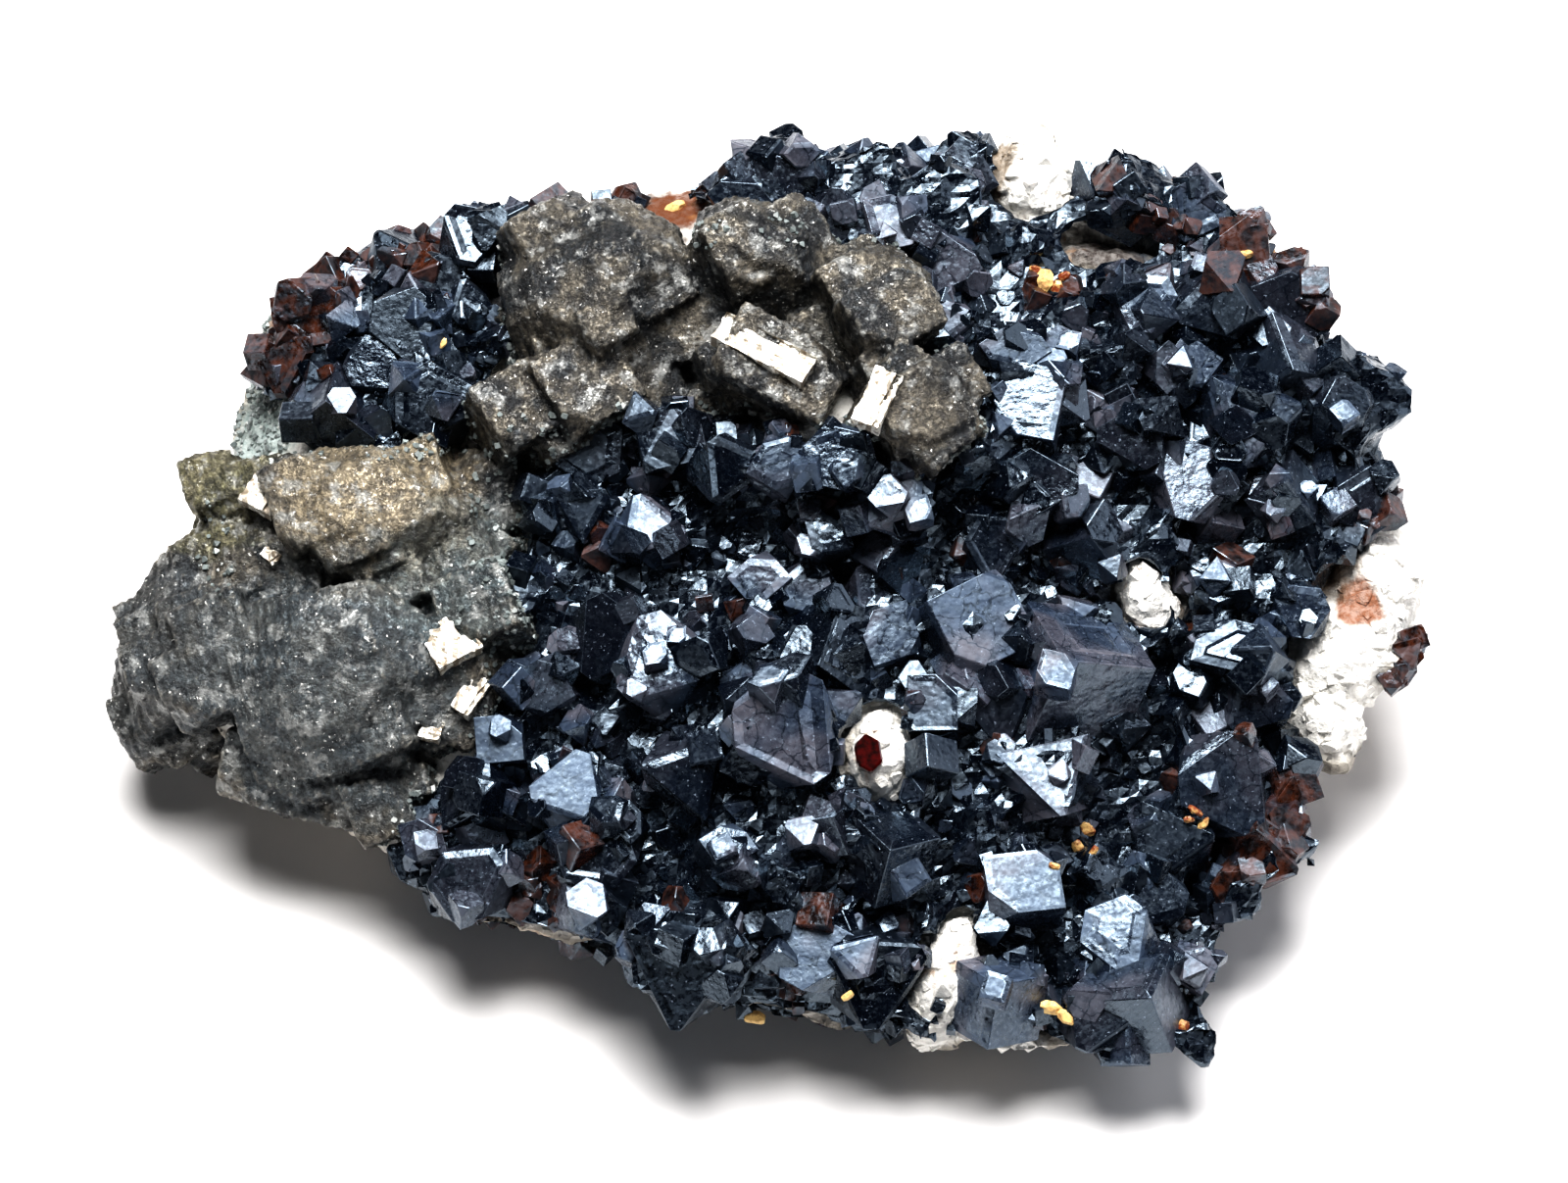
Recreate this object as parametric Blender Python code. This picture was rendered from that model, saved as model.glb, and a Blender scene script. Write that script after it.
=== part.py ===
"""A sphalerite specimen: black blende crystals and dull galena grown on a pale matrix rock.

Every size is a real one, with +Z up. The pieces are modelled in millimetres, where cuts
between fine crystals come out clean, and end in metres. Places on the specimen are given
as they are seen in a picture taken from the front and above, in pixels of that picture,
and a sight line from the eye carries each one onto the rock.
"""

import math
import random

import bmesh
import bpy
from mathutils import Matrix, Vector, noise
from mathutils.bvhtree import BVHTree

MM = 0.001                         # metres

# Driving dimensions, in mm
GAP = 0.3                     # clear space between two pieces that touch
ROCK_SEGMENTS = 26                 # around the rock
ROCK_RINGS = 12                    # from its foot to its top
ROCK_ROUGHNESS = 0.9
ROCK_LUMP_SIZE = 7
LEAST_BULGE = 1.5                  # of the top over the rim
TOP_HEIGHT = 15.0                  # of the matrix top, over the origin
TOP_SLOPE = 0.42                   # it climbs towards the back
FOOT_SHARE = 0.58                  # of the outline, which rests on the surface
FOOT_EXTRA_BEHIND = 0.24           # more of it, under the high back
CRUST_THICKNESS = 1.5         # of the massive blende under the crystals
CRUST_REACH_UP = 9            # how far over and under the sloping top it can lie
CRUST_REACH_DOWN = 8.5
CRUST_FOOT = 1.0                   # its least height over the surface that the rock rests on
DRUSE_SEED = 11
LEAST_HEIGHT = 0.62                # of a crystal's middle, over its breadth
FILL_SPACING = 0.40                # least distance of two crystals, over their breadths
FILL_TRIES = 200                   # for each crystal
SHORTEST_EDGE = 0.02               # of a crystal, over its radius

# The picture that places are read from
PICTURE_CENTRE = (800.0, 603.5)
PIXELS_PER_MM = 16.6
VIEW_ELEVATION = math.radians(55)
VIEW_DISTANCE = 420
VIEW_TARGET = Vector((0, 0, 13))
RIGHT = Vector((1, 0, 0))
UP = Vector((0, math.sin(VIEW_ELEVATION), math.cos(VIEW_ELEVATION)))
TOWARDS = Vector((0, -math.cos(VIEW_ELEVATION), math.sin(VIEW_ELEVATION)))
EYE = VIEW_TARGET + TOWARDS * VIEW_DISTANCE

# Widest outline of the matrix rock: picture x, picture y, height in mm
HUB = Vector((1, -1, 0))
RIM = [
    (1440, 640, 8), (1462, 600, 10), (1440, 560, 12), (1412, 520, 14), (1396, 440, 16),
    (1385, 380, 18), (1350, 330, 19), (1325, 270, 20), (1285, 225, 22), (1200, 195, 22),
    (1110, 180, 22), (1030, 165, 22), (910, 150, 23), (790, 162, 22), (705, 185, 21),
    (655, 208, 20), (600, 205, 20), (530, 205, 19), (440, 225, 18), (350, 258, 17),
    (275, 305, 15), (250, 380, 13), (240, 450, 12), (222, 510, 11), (200, 580, 10),
    (185, 650, 9), (190, 700, 8), (215, 750, 7), (270, 800, 6), (335, 838, 6),
    (405, 878, 6), (455, 925, 6), (530, 945, 6), (630, 970, 6), (700, 1010, 6),
    (760, 1030, 5.5), (850, 1042, 5.5), (930, 1056, 5), (1050, 1066, 4.6), (1130, 1072, 4.4),
    (1200, 1058, 4.6), (1222, 1020, 5), (1235, 950, 5.5), (1270, 905, 6), (1312, 860, 6.5),
    (1318, 800, 7.5), (1350, 768, 7.5), (1395, 715, 7.5),
]

# Swells and hollows of the top: picture x, picture y, reach in mm, rise in mm
SWELLS = [
    (880, 850, 11, 4.5), (720, 900, 9, 2.5), (1240, 850, 7, -2.0), (610, 330, 9, -1.5),
    (400, 560, 9, -2.0), (330, 700, 8, 1.5), (1000, 650, 9, 1.0), (690, 560, 9, 0.8),
]

# Knobs of white rock that come up between the crystals: picture x, picture y, breadth,
# length and height in mm, spin in degrees
KNOBS = [
    (1052, 192, 5.6, 6.8, 3.4, 20), (1170, 616, 3.6, 6.6, 3.6, 25), (900, 776, 4.4, 6.2, 4.0, 8),
    (962, 1002, 4.4, 9.0, 3.6, -18), (1370, 672, 6.5, 10.5, 4.0, -35), (1352, 738, 5.0, 5.0, 3.0, 0),
    (1402, 600, 6.0, 7.0, 3.4, -20), (1130, 250, 5.6, 2.6, 3.0, -6), (1268, 240, 4.4, 3.4, 3.2, 30),
]

# Faces of each form, and how far from the centre each habit has them, over its radius
FORMS = {
    "tetrahedron": [(1, 1, 1), (1, -1, -1), (-1, 1, -1), (-1, -1, 1)],
    "counter": [(-1, -1, -1), (-1, 1, 1), (1, -1, 1), (1, 1, -1)],
    "cube": [(1, 0, 0), (-1, 0, 0), (0, 1, 0), (0, -1, 0), (0, 0, 1), (0, 0, -1)],
    "dodecahedron": [
        (1, 1, 0), (1, -1, 0), (-1, 1, 0), (-1, -1, 0), (1, 0, 1), (1, 0, -1),
        (-1, 0, 1), (-1, 0, -1), (0, 1, 1), (0, 1, -1), (0, -1, 1), (0, -1, -1),
    ],
}
HABITS = {
    "table": {"tetrahedron": 0.62, "counter": 0.84},
    "octa": {"tetrahedron": 0.70, "counter": 0.78},
    "apex": {"cube": 0.70},
    "block": {"cube": 0.72, "tetrahedron": 0.98},
    "lump": {"cube": 0.84, "tetrahedron": 0.87, "counter": 0.87, "dodecahedron": 0.92},
}
STANDS_ON_DIAGONAL = ("table", "octa", "apex")
FACE_SCATTER = 0.12                # how far a face strays from its distance, as a share

# Crystals that can be told apart: picture x, picture y, breadth in mm, habit, then how far
# the end that shows leans to the right, leans up, and is spun, in degrees
MAIN_CRYSTALS = [
    (988, 638, 7.6, "block", 14, 12, 28), (800, 742, 7.8, "table", 8, 4, 200),
    (1098, 690, 8.6, "apex", -6, 10, 75), (1214, 497, 5.8, "table", 4, 16, 30),
    (1268, 432, 6.8, "octa", 6, 6, 150), (902, 868, 6.6, "apex", 0, 4, 90),
    (1036, 912, 6.2, "block", 4, 24, 8), (832, 972, 6.4, "table", -4, 12, 15),
    (705, 975, 8.2, "octa", -8, -6, 100), (892, 990, 6.4, "octa", 10, -8, 40),
    (1018, 1018, 5.6, "apex", 0, 16, 95), (1066, 795, 6.6, "octa", 6, 22, 60),
    (1238, 800, 7.0, "table", 10, 4, 80), (1192, 858, 5.6, "octa", -10, 4, 20),
    (1252, 672, 5.4, "block", 0, 26, 75), (1276, 712, 5.0, "table", 8, -4, 0),
    (1240, 598, 3.8, "block", -4, 18, 20), (1322, 624, 3.8, "table", 8, 10, 40),
    (582, 808, 5.4, "table", -2, 20, 85), (516, 758, 4.0, "block", -4, 10, 5),
    (482, 902, 5.4, "table", -6, 6, 50), (662, 546, 4.8, "octa", 6, 22, 5),
    (776, 596, 4.0, "block", -8, 14, 40), (822, 604, 3.8, "table", 6, 14, 90),
    (838, 546, 3.6, "block", 8, 16, 15), (898, 602, 4.6, "table", 10, 8, 140),
    (910, 512, 5.0, "octa", -14, 18, 10), (858, 472, 4.8, "table", -6, 10, 30),
    (792, 474, 4.2, "block", 4, 6, 60), (744, 476, 4.6, "octa", 12, -6, 20),
    (606, 462, 5.0, "table", -8, 8, 70), (684, 452, 5.0, "block", 0, 12, 12),
    (562, 516, 3.6, "apex", 0, 10, 0), (598, 520, 4.2, "octa", -10, 4, 45),
    (618, 650, 5.6, "table", 10, -4, 10), (676, 680, 6.4, "octa", -4, 20, 120),
    (850, 662, 6.4, "apex", -10, -10, 30), (904, 650, 4.4, "block", 6, 16, 110),
    (954, 724, 4.6, "block", -6, 14, 0), (1012, 724, 4.6, "octa", 8, -10, 55),
    (846, 846, 4.0, "apex", 0, 20, 10), (738, 870, 3.8, "block", 10, 22, 35),
    (616, 868, 5.6, "table", -4, 8, 95), (604, 925, 4.2, "octa", 6, 24, 30),
    (438, 858, 3.4, "block", -12, 8, 15), (496, 822, 5.0, "apex", 6, 0, 45),
    (1136, 955, 4.8, "table", -8, 18, 65), (1158, 1022, 5.6, "apex", 8, 10, 15),
    (1212, 990, 3.8, "block", 14, 14, 60), (1178, 912, 4.4, "table", 4, 6, 120),
    (1052, 418, 6.0, "block", -4, 16, -12), (1078, 368, 4.0, "octa", -10, 14, 80),
    (966, 330, 3.6, "table", -6, 12, 20), (962, 276, 4.8, "octa", -4, 8, 130),
    (1032, 362, 4.4, "block", 6, 10, 35), (1160, 312, 5.0, "table", 2, 14, 160),
    (1208, 376, 3.8, "block", 12, 20, 55), (1378, 410, 7.6, "octa", 18, -4, 15),
    (1302, 372, 5.4, "apex", 6, -6, 60), (1238, 312, 5.4, "octa", 0, 0, 90),
    (1304, 316, 5.6, "block", 12, -6, 20), (1308, 508, 4.8, "apex", 0, 12, 30),
    (1388, 512, 5.0, "table", 20, 0, 75), (1116, 1040, 4.0, "octa", 0, 8, 20),
    (1150, 448, 5.0, "table", 0, 4, 75), (1060, 500, 5.0, "octa", -4, 6, 15),
    (1010, 560, 4.6, "table", 10, 0, 45), (1112, 560, 5.0, "apex", 0, 8, 25),
    (700, 790, 5.4, "octa", 4, -2, 65), (560, 700, 5.0, "block", -10, 0, 30),
    (1318, 800, 3.4, "block", 14, 4, 20), (1298, 838, 4.0, "table", 10, 0, 70),
    (1326, 862, 3.4, "octa", 18, 4, 30), (1290, 880, 4.2, "octa", 8, -8, 0),
    (1262, 915, 3.8, "table", 12, -6, 45),
    (800, 178, 6.4, "octa", -6, 2, 30), (880, 190, 6.8, "table", 0, 8, 70),
    (955, 212, 7.2, "table", 4, 4, 20), (760, 200, 5.0, "block", -8, 6, 40),
    (905, 236, 4.2, "block", 8, 18, 15), (1150, 205, 6.2, "apex", 0, 6, 55),
    (1215, 215, 5.4, "octa", 8, 2, 10), (1262, 250, 5.0, "table", 14, -4, 80),
    (850, 232, 4.6, "octa", -4, 0, 100), (990, 170, 5.2, "block", 6, 0, 30),
]
LEFT_CRYSTALS = [
    (350, 424, 5.6, "apex", -6, 14, 40), (446, 412, 6.2, "table", 4, 4, 15),
    (418, 336, 5.6, "table", -2, 6, 65), (408, 266, 4.2, "octa", -4, 0, 20),
    (448, 290, 3.8, "block", 6, 4, 70), (484, 244, 4.4, "octa", 4, 16, 35),
    (476, 312, 3.2, "table", 12, 6, 0), (326, 330, 5.6, "block", -14, 4, 8),
    (384, 376, 4.0, "table", -6, 10, 100), (300, 372, 4.2, "octa", -18, 0, 45),
]
# The brown blende spur on the white rock at the right-hand end
SPUR_CRYSTALS = [
    (1436, 656, 2.8, "octa", 10, 6, 20), (1418, 676, 2.6, "block", 4, 2, 60),
    (1396, 696, 2.4, "table", 0, 0, 10),
]

# Where each crust lies, as corners of an outline in the picture
MAIN_OUTLINE = [
    (395, 880), (436, 800), (500, 735), (536, 640), (530, 560), (548, 480), (580, 440),
    (640, 420), (760, 425), (850, 455), (960, 470), (990, 420), (950, 330), (945, 262),
    (860, 255), (760, 225), (690, 200), (790, 155), (910, 142), (1010, 160), (1110, 176),
    (1200, 188), (1290, 222), (1345, 335), (1400, 370),
    (1415, 470), (1400, 560), (1335, 620), (1312, 700), (1322, 780), (1330, 860),
    (1255, 930), (1240, 1060), (1130, 1085), (1040, 1052), (900, 1055), (700, 1015),
    (630, 970), (520, 945), (440, 925),
]
LEFT_OUTLINE = [
    (290, 420), (270, 340), (330, 270), (440, 230), (510, 235), (505, 440), (400, 455),
]
SPUR_OUTLINE = [(1385, 700), (1440, 640), (1460, 660), (1400, 720)]

# Blende between the crystals that can be told apart: how many, least and most breadth in mm
MAIN_FILL = (20, 3.4, 5.2)
LEFT_FILL = (9, 2.6, 3.8)
SPUR_FILL = (0, 2.0, 3.0)

# Galena crystals: picture x, picture y, rise over the rock in mm, size across, up and towards
# the eye in mm, habit, lean right, lean up and spin in degrees
UPPER_GALENA = [
    (612, 318, 2.6, 13.6, 13.8, 11.0, "lump", -10, 12, 14),
    (778, 272, 2.4, 11.4, 8.2, 10.0, "lump", 4, 16, -8),
    (898, 302, 1.6, 6.8, 6.0, 8.6, "lump", 10, 8, 10),
    (795, 385, 1.6, 10.8, 7.0, 9.0, "block", 4, 14, -28),
    (930, 420, 2.0, 8.2, 7.8, 9.0, "block", 8, 10, -32),
    (715, 320, 0.6, 9.0, 10.0, 8.0, "block", 0, 4, 0),
    (850, 350, -0.4, 10.4, 7.0, 6.6, "block", 0, 4, 30),
    (555, 425, 0.6, 7.6, 5.0, 5.0, "block", -8, 0, 20),
]
LOWER_GALENA = [
    (395, 525, 2.8, 13.2, 9.4, 8.0, "lump", 4, 14, -6),
    (268, 528, 1.4, 7.4, 9.6, 7.0, "block", -12, 8, 12),
    (206, 655, 0.6, 10.4, 17.0, 9.0, "lump", -16, -2, -22),
    (350, 690, 2.6, 14.6, 13.4, 8.4, "lump", -4, 2, 10),
    (280, 600, 0.4, 12.0, 10.0, 6.0, "lump", -4, 0, 20),
    (470, 600, 1.0, 8.6, 12.6, 6.4, "lump", 12, 8, 8),
    (462, 700, 1.2, 7.4, 9.0, 5.6, "block", 10, 2, -30),
    (300, 790, 0.8, 12.6, 6.4, 5.4, "block", -4, -4, -14),
    (385, 810, 0.4, 8.6, 5.4, 4.4, "block", 4, -4, -24),
    (505, 500, 0.4, 5.4, 6.4, 5.0, "lump", 8, 6, 0),
]

COLOURS = {
    "white_rock": (0.78, 0.74, 0.66, 0.75, 0.0),
    "black_blende": (0.020, 0.022, 0.030, 0.28, 0.0),
    "grey_galena": (0.16, 0.15, 0.13, 0.45, 0.6),
    "brown_blende": (0.16, 0.05, 0.03, 0.25, 0.0),
}


def sight_line(place):
    """Direction in which the eye sees a place of the picture."""
    right = (place[0] - PICTURE_CENTRE[0]) / PIXELS_PER_MM
    up = (PICTURE_CENTRE[1] - place[1]) / PIXELS_PER_MM
    return (VIEW_TARGET + RIGHT * right + UP * up - EYE).normalized()


def at_height(place, height):
    """Point at that height which the eye sees at a place of the picture."""
    line = sight_line(place)
    return EYE + line * ((height - EYE.z) / line.z)


def at_depth(place, rise):
    """Point that the eye sees at a place, on the sloping plane of the top raised by that much."""
    line = sight_line(place)
    climb = line.z - TOP_SLOPE * line.y
    return EYE + line * ((TOP_HEIGHT + rise + TOP_SLOPE * EYE.y - EYE.z) / climb)


def inside(place, outline):
    """Whether a place lies within an outline of the picture."""
    x, y = place
    within = False
    for (x1, y1), (x2, y2) in zip(outline, outline[1:] + outline[:1]):
        if (y1 > y) != (y2 > y) and x < x1 + (y - y1) * (x2 - x1) / (y2 - y1):
            within = not within
    return within


def clear_scene():
    for obj in list(bpy.data.objects):
        bpy.data.objects.remove(obj)


def collection(name):
    made = bpy.data.collections.new(name)
    bpy.context.scene.collection.children.link(made)
    return made


def material(name):
    red, green, blue, roughness, metallic = COLOURS[name]
    made = bpy.data.materials.new(name)
    made.use_nodes = True
    shader = made.node_tree.nodes["Principled BSDF"]
    shader.inputs["Base Color"].default_value = (red, green, blue, 1)
    shader.inputs["Roughness"].default_value = roughness
    shader.inputs["Metallic"].default_value = metallic
    return made


def helper(name, bm, cutters):
    """Object made from a bmesh, which it uses up. It shows as a wire and isn't rendered."""
    mesh = bpy.data.meshes.new(name)
    bm.to_mesh(mesh)
    bm.free()
    obj = bpy.data.objects.new(name, mesh)
    obj.hide_render = True
    obj.display_type = "WIRE"
    cutters.objects.link(obj)
    return obj


def combine(obj, other, operation):
    """Applies a Boolean of one closed object with another, and removes the other."""
    modifier = obj.modifiers.new(operation.lower(), "BOOLEAN")
    modifier.operation = operation
    modifier.solver = "EXACT"
    modifier.object = other
    graph = bpy.context.evaluated_depsgraph_get()
    mesh = bpy.data.meshes.new_from_object(obj.evaluated_get(graph))
    obj.modifiers.clear()
    old = obj.data
    obj.data = mesh
    bpy.data.meshes.remove(old)
    bpy.data.objects.remove(other)


def swell(bm, distance):
    """Moves every point outwards."""
    bm.normal_update()
    moved = [vert.co + vert.normal * distance for vert in bm.verts]
    for vert, place in zip(bm.verts, moved):
        vert.co = place


def rim_points():
    """The rock's outline as (angle about the hub, distance from it, height)."""
    points = []
    for x, y, height in RIM:
        point = at_height((x, y), height)
        away = point - HUB
        points.append((math.atan2(away.y, away.x), away.xy.length, point.z))
    return sorted(points)


def rim_at(angle, points):
    """(distance from the hub, height) of the outline in a direction."""
    ahead = next((i for i, p in enumerate(points) if p[0] > angle), 0)
    after, before = points[ahead], points[ahead - 1]
    span = (after[0] - before[0]) % math.tau
    share = ((angle - before[0]) % math.tau) / span
    return (
        before[1] + (after[1] - before[1]) * share,
        before[2] + (after[2] - before[2]) * share,
    )


def top_of_rock(x, y):
    """Height of the rock's top before the rim rounds it off."""
    height = TOP_HEIGHT + TOP_SLOPE * y
    for px, py, reach, rise in SWELLS:
        middle = at_depth((px, py), 0)
        distance = math.hypot(x - middle.x, y - middle.y) / (reach)
        height += rise * math.exp(-distance * distance)
    return height


def rock_body(grow=0.0):
    """The lumpy matrix rock, flat where it rests. grow makes it that much fatter."""
    points = rim_points()
    bm = bmesh.new()
    bmesh.ops.create_uvsphere(bm, u_segments=ROCK_SEGMENTS, v_segments=ROCK_RINGS, radius=1)
    bmesh.ops.triangulate(bm, faces=bm.faces[:])
    for vert in bm.verts:
        direction = vert.co.copy()
        angle = math.atan2(direction.y, direction.x)
        distance, rim_height = rim_at(angle, points)
        share = math.sqrt(max(0.0, 1 - abs(direction.z)))
        x = HUB.x + math.cos(angle) * distance * share
        y = HUB.y + math.sin(angle) * distance * share
        if direction.z >= 0:
            bulge = (1 - share**3) ** 0.62
            height = rim_height + max(top_of_rock(x, y) - rim_height, LEAST_BULGE) * bulge
        else:
            foot = FOOT_SHARE + FOOT_EXTRA_BEHIND * max(0.0, math.sin(angle))
            climb = max(0.0, (share - foot) / (1 - foot))
            height = rim_height * climb**1.3
        vert.co = (x, y, height)
    roughen(bm)
    swell(bm, grow)
    return bm


def roughen(bm):
    """Moves a rock's points in and out, except where it rests."""
    bm.normal_update()
    moved = []
    for vert in bm.verts:
        coarse = noise.noise(vert.co / ROCK_LUMP_SIZE)
        fine = noise.noise(vert.co / ROCK_LUMP_SIZE * 2.3 + Vector((5, 5, 5)))
        place = vert.co + vert.normal * ROCK_ROUGHNESS * (coarse + 0.5 * fine)
        resting = vert.co.z < 0.01
        place.z = 0.0 if resting else max(place.z, 0.15)
        moved.append(place)
    for vert, place in zip(bm.verts, moved):
        vert.co = place


def on_rock(place, tree):
    """Point of the rock that the eye sees at a place, or one level with the rock nearby."""
    line = sight_line(place)
    point = tree.ray_cast(EYE, line)[0]
    near = Vector(place)
    while point is None:
        near += (Vector(PICTURE_CENTRE) - near) * 0.01
        point = tree.ray_cast(EYE, sight_line(near))[0]
    return EYE + line * ((point - EYE).dot(TOWARDS) / line.dot(TOWARDS))


def leaning(lean_right, lean_up, spin):
    """Rotation whose Z leans from the eye's direction, and which is spun about that."""
    end = TOWARDS + RIGHT * math.tan(math.radians(lean_right)) + UP * math.tan(math.radians(lean_up))
    end.normalize()
    across = RIGHT - end * RIGHT.dot(end)
    across.normalize()
    frame = Matrix((across, end.cross(across), end)).transposed()
    return frame @ Matrix.Rotation(math.radians(spin), 3, "Z")


def knob(x, y, breadth, length, height, spin, tree, grow):
    """A rounded lump of white rock that stands out of the rock's top."""
    bm = bmesh.new()
    bmesh.ops.create_icosphere(bm, subdivisions=2, radius=1)
    point = on_rock((x, y), tree)
    turn = leaning(0, 0, spin)
    half = Vector((breadth / 2, length / 2, height))
    for vert in bm.verts:
        lump = 1 + 0.16 * noise.noise(vert.co * 2 + Vector((x, y, 0)))
        vert.co = point + turn @ (vert.co * lump * half)
    swell(bm, grow)
    return bm


def rock_with_knobs(name, tree, cutters, grow=0.0):
    """The whole matrix rock as one closed mesh."""
    body = helper(name, rock_body(grow), cutters)
    for x, y, breadth, length, height, spin in KNOBS:
        lump = knob(x, y, breadth, length, height, spin, tree, grow)
        combine(body, helper("knob", lump, cutters), "UNION")
    return body


def slice_off(shape, point, normal):
    """Cuts away what lies beyond a plane, and closes the cut."""
    bmesh.ops.bisect_plane(
        shape, geom=shape.verts[:] + shape.edges[:] + shape.faces[:],
        plane_co=point, plane_no=normal, clear_outer=True,
    )
    bmesh.ops.remove_doubles(shape, verts=shape.verts[:], dist=SHORTEST_EDGE)
    open_edges = [edge for edge in shape.edges if edge.is_boundary]
    bmesh.ops.holes_fill(shape, edges=open_edges, sides=0)


def crystal(centre, size, habit, turn, rng):
    """A block cut down to a crystal by its faces."""
    shape = bmesh.new()
    bmesh.ops.create_cube(shape, size=2.4)
    for form, share in HABITS[habit].items():
        for face in FORMS[form]:
            normal = Vector(face).normalized()
            distance = share * rng.uniform(1 - FACE_SCATTER, 1 + FACE_SCATTER)
            slice_off(shape, normal * distance, normal)
    stand = Matrix.Identity(3)
    if habit in STANDS_ON_DIAGONAL:
        stand = Vector((1, 1, 1)).rotation_difference(Vector((0, 0, 1))).to_matrix()
    half = size / 2
    for vert in shape.verts:
        vert.co = centre + turn @ ((stand @ vert.co) * half)
    bmesh.ops.recalc_face_normals(shape, faces=shape.faces[:])
    return shape


def fill_between(listed, outline, fill, rng):
    """More crystals, scattered over an outline in the room that the listed ones leave."""
    count, least, most = fill
    spots = [(x, y, breadth) for x, y, breadth, *_ in listed]
    added = []
    low_x, high_x = min(x for x, _ in outline), max(x for x, _ in outline)
    low_y, high_y = min(y for _, y in outline), max(y for _, y in outline)
    room = FILL_SPACING * PIXELS_PER_MM
    for _ in range(count * FILL_TRIES):
        x, y = rng.uniform(low_x, high_x), rng.uniform(low_y, high_y)
        breadth = rng.uniform(least, most)
        close = any(math.hypot(x - a, y - b) < room * (breadth + c) for a, b, c in spots)
        if close or len(added) == count or not inside((x, y), outline):
            continue
        spots.append((x, y, breadth))
        habit = rng.choice(("table", "octa", "apex", "block", "table"))
        lean_right, lean_up, spin = rng.uniform(-20, 20), rng.uniform(-15, 20), rng.uniform(0, 360)
        added.append((x, y, breadth, habit, lean_right, lean_up, spin))
    return added


def outline_block(outline):
    """Block with the shape of an outline, along the sight lines through the crust."""
    bm = bmesh.new()
    top = [bm.verts.new(at_depth(place, CRUST_REACH_UP)) for place in outline]
    bottom = [bm.verts.new(at_depth(place, -CRUST_REACH_DOWN)) for place in outline]
    bm.faces.new(top)
    bm.faces.new(reversed(bottom))
    for i in range(len(outline)):
        bm.faces.new((top[i - 1], bottom[i - 1], bottom[i], top[i]))
    bmesh.ops.recalc_face_normals(bm, faces=bm.faces[:])
    return bm


def druse(name, listed, outline, fill, tree, cutters):
    """Massive blende with its crystals as one closed mesh, still running into the rock."""
    rng = random.Random(DRUSE_SEED)
    layer = rock_body(CRUST_THICKNESS)
    slice_off(layer, Vector((0, 0, CRUST_FOOT)), Vector((0, 0, -1)))
    body = helper(name, layer, cutters)
    combine(body, helper("outline", outline_block(outline), cutters), "INTERSECT")
    for x, y, breadth, habit, *lean in listed + fill_between(listed, outline, fill, rng):
        size = Vector((1, 1, 1)) * breadth
        centre = on_rock((x, y), tree) + TOWARDS * (CRUST_THICKNESS + 0.1 * breadth)
        if centre.z < LEAST_HEIGHT * breadth:
            continue
        shape = crystal(centre, size, habit, leaning(*lean), rng)
        combine(body, helper("crystal", shape, cutters), "UNION")
    return body


def galena(name, crystals, tree, cutters, grow=0.0):
    """Galena crystals grown together as one closed mesh, still running into the rock."""
    body = None
    for x, y, rise, across, up, towards, habit, *lean in crystals:
        centre = on_rock((x, y), tree) + TOWARDS * rise
        size = Vector((across, up, towards)) + Vector((1, 1, 1)) * 2 * grow
        shape = crystal(centre, size, habit, leaning(*lean), random.Random(x))
        lump = helper(name, shape, cutters)
        if body:
            combine(body, lump, "UNION")
        else:
            body = lump
    return body


def largest_body(bm):
    """Keeps the largest connected part, and drops the chips that a cut leaves."""
    left, bodies = set(bm.faces), []
    while left:
        front = [left.pop()]
        body = set(front)
        while front:
            for edge in front.pop().edges:
                for near in edge.link_faces:
                    if near in left:
                        left.remove(near)
                        body.add(near)
                        front.append(near)
        bodies.append(body)
    bodies.sort(key=lambda body: sum(face.calc_area() for face in body))
    chips = [face for body in bodies[:-1] for face in body]
    bmesh.ops.delete(bm, geom=chips, context="FACES")


def finish(piece, finish_name, finishes, specimen, cutters):
    """Keeps a piece's one body, gives it its material and moves it to the specimen."""
    bm = bmesh.new()
    bm.from_mesh(piece.data)
    largest_body(bm)
    bmesh.ops.scale(bm, vec=(MM, MM, MM), verts=bm.verts[:])
    bm.to_mesh(piece.data)
    bm.free()
    piece.data.materials.clear()
    piece.data.materials.append(finishes[finish_name])
    piece.hide_render = False
    piece.display_type = "TEXTURED"
    cutters.objects.unlink(piece)
    specimen.objects.link(piece)


def stand_over_origin(pieces):
    """Moves all pieces together until the middle of their box is over the origin."""
    corners = [vert.co for piece in pieces for vert in piece.data.vertices]
    middle_x = (min(co.x for co in corners) + max(co.x for co in corners)) / 2
    middle_y = (min(co.y for co in corners) + max(co.y for co in corners)) / 2
    shift = Matrix.Translation((-middle_x, -middle_y, 0))
    for piece in pieces:
        piece.data.transform(shift)


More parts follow.
